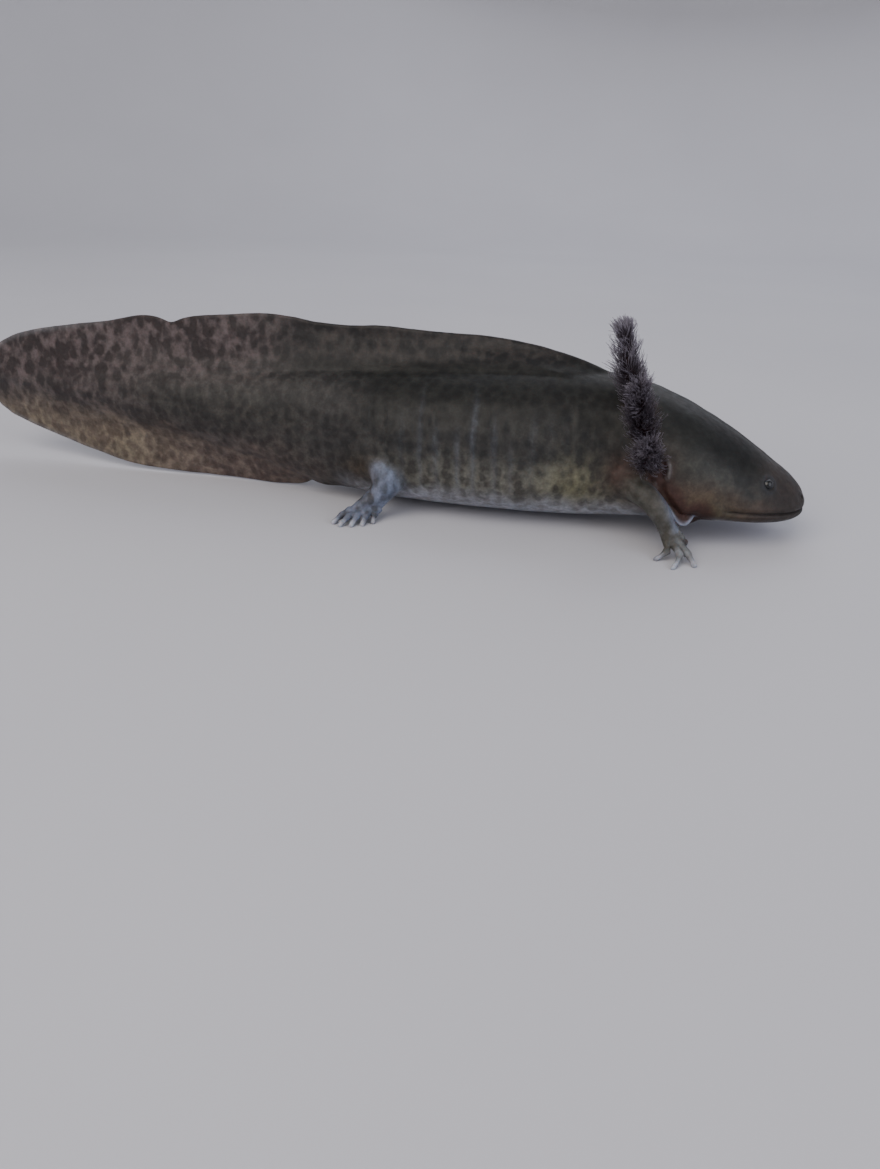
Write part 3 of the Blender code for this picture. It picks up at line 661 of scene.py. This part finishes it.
facts = surfaceFacts(skin.data)
facts.rise = reliefAt(facts)
points = facts.p + facts.n * facts.rise[:, None]
points[:, 2] = np.maximum(points[:, 2], 0)
writePoints(skin.data, points)
print("relief shaped")

# Markings: each region's ground tone, and that of the dark marks on it
tones = {
    # back, dorsal fin and crown: their own darker skin, made darker still as painted shade on the top
    "trunk": ("#343331", "#242424"), "back": ("#232321", "#131313"), "dorsalFin": ("#34302e", "#1a191a"),
    "lowFlank": ("#66655d", "#413f3b"), "belly": ("#9a9eaa", "#7c7d82"), "tailRoot": ("#393736", "#272626"),
    "tail": ("#514948", "#2d2929"), "tailCore": ("#3b3936", "#282726"), "upperFin": ("#5a5050", "#2f2929"),
    "lowerTail": ("#665b54", "#483e3b"), "lowerTip": ("#746b5c", "#50473f"), "head": ("#3a3a36", "#222221"),
    "crown": ("#1c1d1c", "#101010"), "cheek": ("#4a3d35", "#332a24"), "snout": ("#332d2a", "#252120"),
    "throat": ("#9fa2ae", "#85838b"), "olive": ("#666347", "#3a382f"), "flush": ("#3e2b26", "#2a1b17"),
    "cleft": ("#34120f", "#2a0d0b"), "paleEdge": ("#8d8c8e", "#7f7d7d"),
    # the costal groove tones are a painted highlight
    "grooveHighlight": ("#5a606b", "#474b54"), "arm": ("#4a4a46", "#32312b"), "armEdge": ("#76809a", "#676f82"),
    "hand": ("#74777b", "#403e39"), "thigh": ("#687186", "#434850"), "hindFoot": ("#737b90", "#404249"),
    "hipSpot": ("#4c4238", "#332a21"), "toeTip": ("#a2a6b0", "#85878f"), "flapRim": ("#858da0", "#717787"),
    "finEdge": ("#77777a", "#66666a"), "eyeRing": ("#33353a", "#26282c"), "stalk": ("#2c1c20", "#201418"),
}


def paint(piece, name, values):
    # A number or colour for each point, which the material reads
    kind, field = ("FLOAT", "value") if np.ndim(values) == 1 else ("FLOAT_COLOR", "color")
    layer = piece.data.attributes.new(name, kind, "POINT")
    layer.data.foreach_set(field, np.asarray(values, np.float32).ravel())


def markings(f):
    # Each region's share, 0 to 1, in the order in which they lie over each other
    x, z, side, height, widest = f.x, f.z, f.side, f.height, f.widest
    drift = 0.5 * softNoise(f.p, 9, 21) + 0.5 * softNoise(f.p, 4, 22)
    head = fade(70, 82, x + 2 * drift)
    tail = fade(-10, -46, x + 5 * drift)
    cleft, edge = slitShape(f)
    rim = foldHeight(f)[2]
    leg = np.maximum(fade(1.2, -0.4, f.limb) * fade(0, 2, f.outside + 3 * f.limbShare - 0.6),
                     fade(0.9, 0.1, f.toe))
    middle = 40  # between fore and hind legs
    fore, hind = leg * (x > middle), leg * (x < middle)
    downLeg = f.limbShare + (f.toe < 1)
    phase, away = ribPhase(f)
    return leg, [
        ("trunk", np.ones(len(x))),
        # the back: its own darker skin, partly painted shade on the top
        ("back", fade(0.55, 0.9, height + 0.1 * drift)),
        ("lowFlank", fade(0.56, 0.28, height + 0.08 * drift) * fade(4, 20, x)),
        # the dorsal fin: its own darker skin, partly painted shade
        ("dorsalFin", f.blade * fade(64, 48, x + 3 * drift) * (z > widest)),
        ("tailRoot", fade(12, -8, x + 4 * drift) * fade(1.05, 0.9, height)),
        ("tail", tail),
        ("upperFin", tail * fade(0.6, 1, height + 0.1 * drift)),
        ("lowerTail", fade(widest - 2, widest - 15, z + 4 * drift) * fade(0, -24, x + 4 * drift)),
        ("tailCore", hump(z + 3 * drift, 23, 8.5) * fade(-4, -18, x) * fade(-84, -46, x + 7 * drift)),
        ("lowerTip", fade(widest - 1, widest - 15, z + 4 * drift) * fade(-38, -76, x + 6 * drift)),
        ("finEdge", 0.5 * fade(1.8, 0.2, np.minimum(f.high - z, z - f.low)) * fade(-60, -100, x)),
        ("head", head),
        # the crown: its own darker skin, partly painted shade on the top
        ("crown", head * fade(0.58, 0.88, height + 0.08 * drift)),
        ("cheek", head * fade(0.56, 0.34, height + 0.12 * drift)),
        ("snout", fade(98, 108, x + 2 * drift)),
        ("throat", fade(80, 87, x)
         * fade(-0.4, -2.2, z - widest + 2.2 * fade(87, 103, x) + 0.5 * drift)),
        ("belly", fade(0.29, 0.08, height + 0.05 * drift) * fade(-6, 7, x) * (1 - head)),
        ("olive", np.maximum(0.65 * hump(x, 58.5, 7.5) * hump(z, 12.5, 6),
                             0.6 * head * hump(x, 89, 7) * hump(z, 9.5, 4))),
        # painted highlight: a pale line along one wall of each costal groove on the flank
        ("grooveHighlight", (0.4 + 0.15 * drift) * hump(away, -0.5, 0.7) * fade(7, 11, z) * (side > 8)
         * hump(x, 31, 15) * fade(31, 22, z + 5 * np.sin(1.9 * np.round(phase)))),
        ("flush", np.maximum.reduce([
            hump(x, 69, 4) * hump(z, 17, 4.5), hump(x, 78, 3.6) * hump(z, 17, 6),
            0.6 * hump(x, 81.5, 3) * hump(z, 9, 6) * fade(9, 14, side), 0.35 * fade(2.5, 0.5, f.stalk)])),
        ("cleft", cleft),
        # pale edges of the gill clefts, and the throat fold's pale rim, which is partly a painted highlight
        ("paleEdge", np.maximum(0.5 * edge, 0.85 * rim * fade(14, 9, z))),
        ("arm", fore * fade(0.05, 0.4, downLeg)),
        ("hand", fore * fade(0.5, 0.8, downLeg)),
        # the arm's forward-facing side paler: partly its own paler skin, partly a painted highlight
        ("armEdge", 0.5 * fore * fade(0.35, 0.9, f.n[:, 0]) * (f.toe > 1)),
        ("thigh", hind * fade(0.12, 0.36, downLeg + 0.06 * drift)),
        ("hindFoot", hind * fade(0.5, 0.8, downLeg)),
        ("hipSpot", 0.85 * hump(x, 4.5, 5) * hump(z, 11, 3.8) * (side > 8)),
        ("toeTip", fade(0.6, 0.95, f.toeShare) * fade(0.8, 0.2, f.toe)),
        ("flush", fade(5.5, 3, f.flapRim) * (side > 14) * fade(0.8, 1.4, f.limb)),
        # pale line along the flap's free rim: partly its thin pale skin, partly a painted highlight
        ("flapRim", 0.75 * fade(0.5, 0, f.flapRim) * fade(76.5, 80.5, x)),
        ("eyeRing", 0.6 * hump(eyeDistance(f), 1.85, 0.6)),
        ("stalk", fade(0.8, 0, f.stalk)),
    ]


def layTones(f):
    leg, layers = markings(f)
    ground, mark = np.zeros((len(leg), 4)), np.zeros((len(leg), 4))
    for name, share in layers:
        for tone, code in zip((ground, mark), tones[name]):
            tone += (np.array(hexColour(code)) - tone) * share[:, None]
    x, height = f.x, f.height
    head, tail = fade(70, 84, x), fade(-5, -45, x)
    fin = np.maximum(f.blade, tail * fade(0.7, 0.95, height)) * (f.z > f.widest) * (x < 64)
    # on the lower flank the marks stand in columns between the grooves
    flank = fade(0.7, 0.4, height) * fade(2, 10, x) * fade(66, 60, x)
    columns = 1 - 0.4 * np.cos(2 * np.pi * ribPhase(f)[0]) * flank
    for name, values in (
            ("groundTone", ground), ("markTone", mark),
            ("smallMarks", 0.85 * columns * (1 - 0.65 * head) * (1 - 0.1 * tail) * (1 - 0.3 * leg)),
            ("blotches", 0.12 + 0.36 * fin + 0.3 * tail + 0.2 * leg),
            ("clouds", 0.3 + 0.1 * tail + 0.3 * head + 0.1 * leg),
            ("veins", tail * fade(f.widest - 4, f.widest - 10, f.z)),
            # hollow: painted shade where the relief sinks in, in the folds and pits from the neck forward
            ("hollow", np.clip(-f.rise / 0.8, 0, 1) * fade(66, 72, x))):
        paint(skin, name, values)


layTones(facts)
print("markings painted")


def newMaterial(name):
    # A material, its nodes and shader, and the object's own coordinates
    material = bpy.data.materials.new(name)
    material.use_nodes = True
    tree = material.node_tree
    tree.nodes.clear()
    shader = addNode(tree, "BsdfPrincipled")
    addNode(tree, "OutputMaterial", {"Surface": shader})
    return material, tree, shader, addNode(tree, "TexCoord").outputs["Object"]


def layStops(ramp, stops):
    # A colour ramp's stops: place along it, sRGB hex
    places = ramp.color_ramp.elements
    for at, code in stops[1:-1]:
        places.new(at).color = hexColour(code)
    for end, (at, code) in ((0, stops[0]), (len(places) - 1, stops[-1])):
        places[end].position, places[end].color = at, hexColour(code)


# Wet amphibian skin: slime over soft pigment cells gives a faint broad sheen and soft-edged marks
skinLook = {
    "wander": 5,  # mm over which the pattern strays, and how far it strays
    "wanderBy": 1.8,
    "mark": 2.2,  # mm between the small dark marks
    "markTall": 1.4,  # how much taller than wide they are
    "ragged": 1.5,  # mm, unevenness of their edges and of the slime
    "blotch": 3.4,  # mm across the blotches of the fins
    "cloud": 10,  # mm across the dark clouds
    "vein": 9,  # mm between the pale folds in the lower fin
    "fleck": 1.5,  # mm, pale specks
    "grain": 0.6,  # mm, pigment cells, drawn coarser than real so that they show
    "pore": 0.45,  # mm, skin glands, drawn coarser than the real 0.2
}


def skinMaterial():
    material, tree, shader, place = newMaterial("wet_amphibian_skin")
    painted = {name: addNode(tree, "Attribute", attribute_name=name).outputs for name in (
        "groundTone", "markTone", "smallMarks", "blotches", "clouds", "veins", "hollow")}
    scale = {name: 1 / (size * mm) for name, size in skinLook.items()}

    # the pattern's own space, pulled about so that nothing repeats or runs straight
    wander = addNode(tree, "TexNoise", {"Vector": place, "Scale": scale["wander"], "Detail": 2})
    reach = (skinLook["wanderBy"] * mm,) * 3
    bent = addNode(tree, "VectorMath", {0: wander.outputs["Color"], 1: reach, 2: place},
                   operation="MULTIPLY_ADD")
    upright = addNode(tree, "Mapping", {"Vector": bent, "Scale": (1, 1, 1 / skinLook["markTall"])})

    noise = {}
    for name, space, detail in (
            ("ragged", place, 2), ("blotch", bent, 1.5), ("cloud", bent, 4), ("vein", bent, 1),
            ("fleck", bent, 2), ("grain", place, 2), ("pore", place, 3)):
        noise[name] = addNode(tree, "TexNoise", {"Vector": space, "Scale": scale[name], "Detail": detail})
    ragged = noise["ragged"]
    cells = addNode(tree, "TexVoronoi", {"Vector": upright, "Scale": scale["mark"], "Smoothness": 0.4},
                    feature="SMOOTH_F1")
    noise["mark"] = addNode(tree, "Math", {0: ragged, 1: 0.7, 2: cells}, operation="MULTIPLY_ADD")
    # pale folds in the lower fin, where a slow noise crosses its middle value
    vein = addNode(tree, "Math", {0: noise["vein"], 1: 0.5}, operation="SUBTRACT")
    noise["vein"] = addNode(tree, "Math", {0: vein}, operation="ABSOLUTE")

    # each kind's strength, from part of its noise's range
    fields = {}
    for name, low, high, atLow, atHigh, curve in (
            ("cloud", 0.4, 0.64, 0, 1, "SMOOTHSTEP"), ("blotch", 0.38, 0.72, 0, 1, "SMOOTHSTEP"),
            ("mark", 0.48, 1.16, 1, 0, "SMOOTHSTEP"), ("vein", 0, 0.055, 0.24, 0, "SMOOTHSTEP"),
            ("fleck", 0.3, 0.7, 0.82, 1.22, "LINEAR"), ("grain", 0.3, 0.7, 0.86, 1.14, "LINEAR"),
            ("ragged", 0.3, 0.7, 0.48, 0.64, "LINEAR")):
        fields[name] = addNode(tree, "MapRange", {"Value": noise[name], 1: low, 2: high, 3: atLow, 4: atHigh},
                               interpolation_type=curve)

    # clouds, blotches and small marks, each as strong as painted
    share = 0
    for name, layer in (("cloud", "clouds"), ("blotch", "blotches"), ("mark", "smallMarks")):
        share = addNode(tree, "Math", {0: fields[name], 1: painted[layer]["Fac"], 2: share},
                        operation="MULTIPLY_ADD")
    share = addNode(tree, "Clamp", {0: share})
    ground, mark = painted["groundTone"]["Color"], painted["markTone"]["Color"]
    colour = addNode(tree, "Mix", {0: share, 6: ground, 7: mark}, data_type="RGBA").outputs[2]

    # fine unevenness, and painted shade in folds and pits
    vein = addNode(tree, "Math", {0: fields["vein"], 1: painted["veins"]["Fac"]}, operation="MULTIPLY")
    shade = addNode(tree, "Math", {0: fields["fleck"], 1: fields["grain"], 2: vein}, operation="MULTIPLY_ADD")
    hollow = addNode(tree, "Math", {0: painted["hollow"]["Fac"], 1: -0.55, 2: 1}, operation="MULTIPLY_ADD")
    shade = addNode(tree, "Math", {0: shade, 1: hollow}, operation="MULTIPLY")
    shade = addNode(tree, "CombineColor", {0: shade, 1: shade, 2: shade})
    colour = addNode(tree, "Mix", {0: 1, 6: colour, 7: shade}, data_type="RGBA",
                     blend_type="MULTIPLY").outputs[2]

    bump = addNode(tree, "Bump", {"Height": noise["pore"], "Strength": 0.16, "Distance": 0.0002})
    bump = addNode(tree, "Bump", {"Height": ragged, "Strength": 0.14, "Distance": 0.0003, "Normal": bump})
    feed(shader, {
        "Base Color": colour, "Roughness": fields["ragged"], "Normal": bump,
        "IOR": 1.38,  # watery tissue
        "Specular IOR Level": 0.27, "Coat Weight": 0.08, "Coat Roughness": 0.25,
        "Subsurface Weight": 0.12, "Subsurface Scale": 0.0012,
    })
    return material


skin.data.materials.clear()
skin.data.materials.append(skinMaterial())

# Gill filaments: fine tapered threads all round each stalk, leaning to its tip and stuck in tufts
threads = {
    "count": 900, "tufts": 96, "firstShare": 0.12, "length": 6.6, "rootRadius": 0.11, "tipRadius": 0.035,
    "spread": 165,  # degrees to either side of the crest
    "atEnd": 0.2,  # share of the threads that stand on the stalk's end
    "hold": 0.5,  # how closely a tuft's threads come together at its tip
    "sides": 4, "steps": 8,
}


def threadCurves(place, count, wild, draw):
    # Middle lines that leave the stalk at a slant and bend over to run along it; wild is how far they stray
    line, axis, crest, back = gillAxis(place)
    t = np.linspace(0, 1, threads["steps"])
    share = (np.arange(count) + draw.uniform(0, 1, count)) / count / (1 - threads["atEnd"])
    atEnd = fade(0.94, 1, share)
    share = threads["firstShare"] + (1 - threads["firstShare"]) * np.clip(share, 0, 1)
    angle = np.radians(draw.uniform(-1, 1, count) * mix(threads["spread"], 180, atEnd))
    centre = smoothCurve(np.column_stack([np.linspace(0, 1, len(line)), line]), share)
    out = unit(np.cos(angle)[:, None] * crest + np.sin(angle)[:, None] * back
               + 0.15 * draw.normal(size=(count, 3)))
    length = threads["length"] * (0.7 + 0.3 * fade(0.05, 0.4, share)) * (1 - 0.22 * fade(0.5, 0.9, share))
    length *= 1 - 0.2 * atEnd
    length *= 1 + wild * draw.uniform(-0.42, 0.12, count)
    lean = (52 - 20 * share**2) * (1 - atEnd) + draw.uniform(8, 62, count) * atEnd
    lean = np.radians(lean + wild * draw.normal(size=count) * 11)  # angle to the stalk
    curl = np.radians(24 + wild * draw.uniform(-34, 44, count)) * (1 - 0.6 * atEnd)
    bend = lean[:, None] - curl[:, None] * t**1.3
    step = length[:, None] / (len(t) - 1)
    goOut, goUp = [np.cumsum(turn(bend[:, 1:]) * step, axis=1) for turn in (np.sin, np.cos)]
    goOut, goUp = [np.pad(go, ((0, 0), (1, 0)))[..., None] for go in (goOut, goUp)]
    aside = unit(np.cross(out, axis))
    sway = draw.normal(size=count)[:, None] * 0.8 * t**2 + 0.2 * t * np.sin(8 * t + 6 * angle[:, None])
    root = centre[:, :3] + out * centre[:, 3:] * 0.5
    path = root[:, None] + goOut * out[:, None] + goUp * axis + (wild * sway)[..., None] * aside[:, None]
    return path, aside, share, angle


def gillThreads(place, seed):
    # Thin closed cones along the paths, all in one mesh
    draw = np.random.default_rng(seed)
    guide = threadCurves(place, threads["tufts"], 0.8, draw)[0]
    path, aside, share, angle = threadCurves(place, threads["count"], 1, draw)
    nearest = lengths(path[:, None, 0] - guide[None, :, 0]).argmin(axis=1)
    t = np.linspace(0, 1, threads["steps"])
    path = path + (threads["hold"] * t**1.4)[None, :, None] * (guide[nearest] - path)
    count, steps = path.shape[:2]
    sides = threads["sides"]
    ahead = unit(np.gradient(path, axis=1))
    aside = unit(aside[:, None] - (aside[:, None] * ahead).sum(axis=2, keepdims=True) * ahead)
    deep = np.cross(ahead, aside)
    radius = mix(threads["rootRadius"], threads["tipRadius"], t**0.8)
    turn = ringAngles(sides)[:, None]
    circle = np.cos(turn) * aside[:, :, None] + np.sin(turn) * deep[:, :, None]
    rings = path[:, :, None] + radius[:, None, None] * circle
    ends = np.stack([path[:, 0] - ahead[:, 0] * 0.05, path[:, -1] + ahead[:, -1] * 0.08], axis=1)
    points = np.concatenate([rings.reshape(count, -1, 3), ends], axis=1)

    # one thread's faces, and each corner's place in the thread's patch of the map: along, round
    quads = gridFaces(steps, sides)
    row, column = quads // sides, quads % sides
    column[:, [1, 2]] = column[:, [0]] + 1
    quadAt = np.stack([row / (steps - 1), column / sides], axis=-1)
    fans, here = endFans(steps, sides), np.arange(sides)
    around = np.stack([here + 1, here, here + 0.5], axis=-1) / sides
    fanAt = np.stack([np.repeat([[0, 0, -0.1], [1, 1, 1.1]], sides, axis=0),
                      np.concatenate([around, around[:, [1, 0, 2]]])], axis=-1)
    first = np.arange(count)[:, None, None] * points.shape[1]
    faces = (quads + first).reshape(-1, 4).tolist() + (fans + first).reshape(-1, 3).tolist()
    piece = makePiece(f"gill_filaments_{place}", points.reshape(-1, 3), faces)
    home = np.column_stack([0.03 + 0.94 * share, 0.5 + 0.94 * angle / (2 * np.pi)])[:, None, None]
    patch = 0.003  # side of a thread's patch, as a share of the map's
    spots = np.concatenate([(home + patch * (at - 0.5)).ravel() for at in (quadAt, fanAt)])
    piece.data.uv_layers.new(name="OFBake").data.foreach_set("uv", spots)
    # threads that stand clear of the body let more light through
    clear = 0.62 + 0.38 * fade(34, 45, path[:, 0, 2]) + 0.1 * fade(31, 24, path[:, 0, 2])
    paint(piece, "reach", np.outer(clear, np.concatenate([np.repeat(t, sides), [0, 1]])).ravel())
    return piece


def filamentMaterial():
    # Thread-like gill tissue full of blood: dark at the root, paler and pinker where it thins out
    material, tree, shader, place = newMaterial("gill_tissue")
    reach = addNode(tree, "Attribute", attribute_name="reach").outputs["Fac"]
    mottle = addNode(tree, "TexNoise", {"Vector": place, "Scale": 1 / (2.5 * mm), "Detail": 2})
    uneven = addNode(tree, "Math", {0: mottle, 1: 0.5, 2: reach}, operation="MULTIPLY_ADD")
    ramp = addNode(tree, "ValToRGB", {0: uneven})
    layStops(ramp, ((0.25, "#2f282f"), (0.7, "#484148"), (1, "#7d7883")))
    wet = addNode(tree, "MapRange", {"Value": mottle, 3: 0.35, 4: 0.55})
    bump = addNode(tree, "Bump", {"Height": mottle, "Strength": 0.2, "Distance": 0.0001})
    feed(shader, {"Base Color": ramp, "Roughness": wet, "Normal": bump, "IOR": 1.38})
    return material


gillTissue = filamentMaterial()
filamentPieces = []
for number, place in enumerate(gills):
    piece = gillThreads(place, seed=40 + number)
    piece.data.materials.append(gillTissue)
    filamentPieces.append(piece)
print("gill filaments grown")

# Eyes: a ball under a clear cornea, dark pupil in a dull grey ring
eyeLook = {
    "rows": 30, "sides": 40, "openAngle": 80,  # degrees from the pupil's middle that the stops span
    "stops": ((0, "#050608"), (0.45, "#07080a"), (0.53, "#2f3237"), (0.66, "#35383e"), (0.78, "#161616"),
              (1, "#121212")),
}


def eyeball(side):
    cx, cy, cz = relief["eye"]
    facing = unit(relief["eyeFacing"])
    aside = unit(np.cross(facing, (0, 0, 1)))
    upward = np.cross(aside, facing)
    polar = np.linspace(0.02, np.pi - 0.02, eyeLook["rows"])[:, None, None]
    turn = ringAngles(eyeLook["sides"])[:, None]
    outwards = np.cos(turn) * aside + np.sin(turn) * upward
    rings = relief["eyeRadius"] * (np.cos(polar) * facing + np.sin(polar) * outwards) + (cx, -cy, cz)
    rings = rings * (1, -1, 1) if side == "left" else rings[:, ::-1]
    piece = tubePiece(f"eyeball_{side}", rings)
    paint(piece, "angle", [*np.repeat(np.degrees(polar.ravel()), eyeLook["sides"]), 0, 180])
    return piece


def eyeMaterial():
    # Wet cornea: mirror-smooth coat over a matt dark iris with faint metallic grain
    material, tree, shader, place = newMaterial("wet_cornea")
    angle = addNode(tree, "Attribute", attribute_name="angle").outputs["Fac"]
    grain = addNode(tree, "TexNoise", {"Vector": place, "Scale": 1 / (0.25 * mm), "Detail": 2})
    angle = addNode(tree, "Math", {0: grain, 1: 7, 2: angle}, operation="MULTIPLY_ADD")
    share = addNode(tree, "MapRange", {"Value": angle, 2: eyeLook["openAngle"]})
    ramp = addNode(tree, "ValToRGB", {0: share})
    layStops(ramp, eyeLook["stops"])
    rough = addNode(tree, "MapRange", {"Value": grain, 3: 0.2, 4: 0.35})
    feed(shader, {"Base Color": ramp, "Roughness": rough,
                  "IOR": 1.376,  # cornea
                  "Coat Weight": 0.4, "Coat Roughness": 0.06})
    return material


cornea = eyeMaterial()
for side in ("right", "left"):
    piece = eyeball(side)
    piece.data.materials.append(cornea)
    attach(piece, "root")
    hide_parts(f"eye_{side}")
print("eyes set")

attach(skin, "root")
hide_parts(*[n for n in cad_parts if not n.startswith(("eye", "gill"))])
for piece, place in zip(filamentPieces, gills):
    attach(piece, "root")
    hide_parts(f"gill_{place}")

# Stage: a pale floor that turns up into a wall, and soft light from above
stage = {"flat": 800, "wall": 1300, "tall": 900, "sides": 96}


def stageBowl():
    # A profile of (radius, height) carried round the upright axis
    t = np.linspace(0, np.pi / 2, 13)
    bend = stage["wall"] - stage["flat"]
    radius = np.concatenate([[1, 120, 400], stage["flat"] + bend * np.sin(t), [stage["wall"]]])
    height = np.concatenate([[0, 0, 0], bend * (1 - np.cos(t)), [stage["tall"]]])
    turn = ringAngles(stage["sides"])
    rings = np.stack([radius[:, None] * np.cos(turn), radius[:, None] * np.sin(turn),
                      np.repeat(height[:, None], stage["sides"], axis=1)], axis=-1)
    faces = gridFaces(len(radius), stage["sides"]).tolist() + [list(range(stage["sides"] - 1, -1, -1))]
    return makePiece("studio_floor", rings.reshape(-1, 3), [f[::-1] for f in faces])


floor = stageBowl()
paper, tree, shader, place = newMaterial("matt_paper")
texture = addNode(tree, "TexNoise", {"Vector": place, "Scale": 6, "Detail": 3})
ramp = addNode(tree, "ValToRGB", {0: texture})
layStops(ramp, ((0, "#b9b9c0"), (1, "#c3c3c9")))
feed(shader, {"Base Color": ramp, "Roughness": 0.8})
floor.data.materials.append(paper)

lights = {  # place in metres, width in metres, watts, colour
    "key": ((-0.30, -0.70, 0.70), 0.9, 9, "#fff7ee"),
    "fill": ((0.75, -0.45, 0.45), 0.8, 4, "#eef2ff"),
    "back": ((0.10, 0.80, 0.75), 1, 4, "#f4f6ff"),
}
for name, (spot, wide, watts, tint) in lights.items():
    data = bpy.data.lights.new(name, "AREA")
    data.size, data.energy, data.color = wide, watts, hexColour(tint)[:3]
    lamp = bpy.data.objects.new(name, data)
    lamp.location = spot
    lamp.rotation_euler = Vector(spot).to_track_quat("Z", "Y").to_euler()
    scene.collection.objects.link(lamp)
world = bpy.data.worlds.new("studio")
scene.world = world
world.use_nodes = True
feed(world.node_tree.nodes["Background"], {"Color": hexColour("#e9eaee"), "Strength": 0.45})
print("stage and lights set")
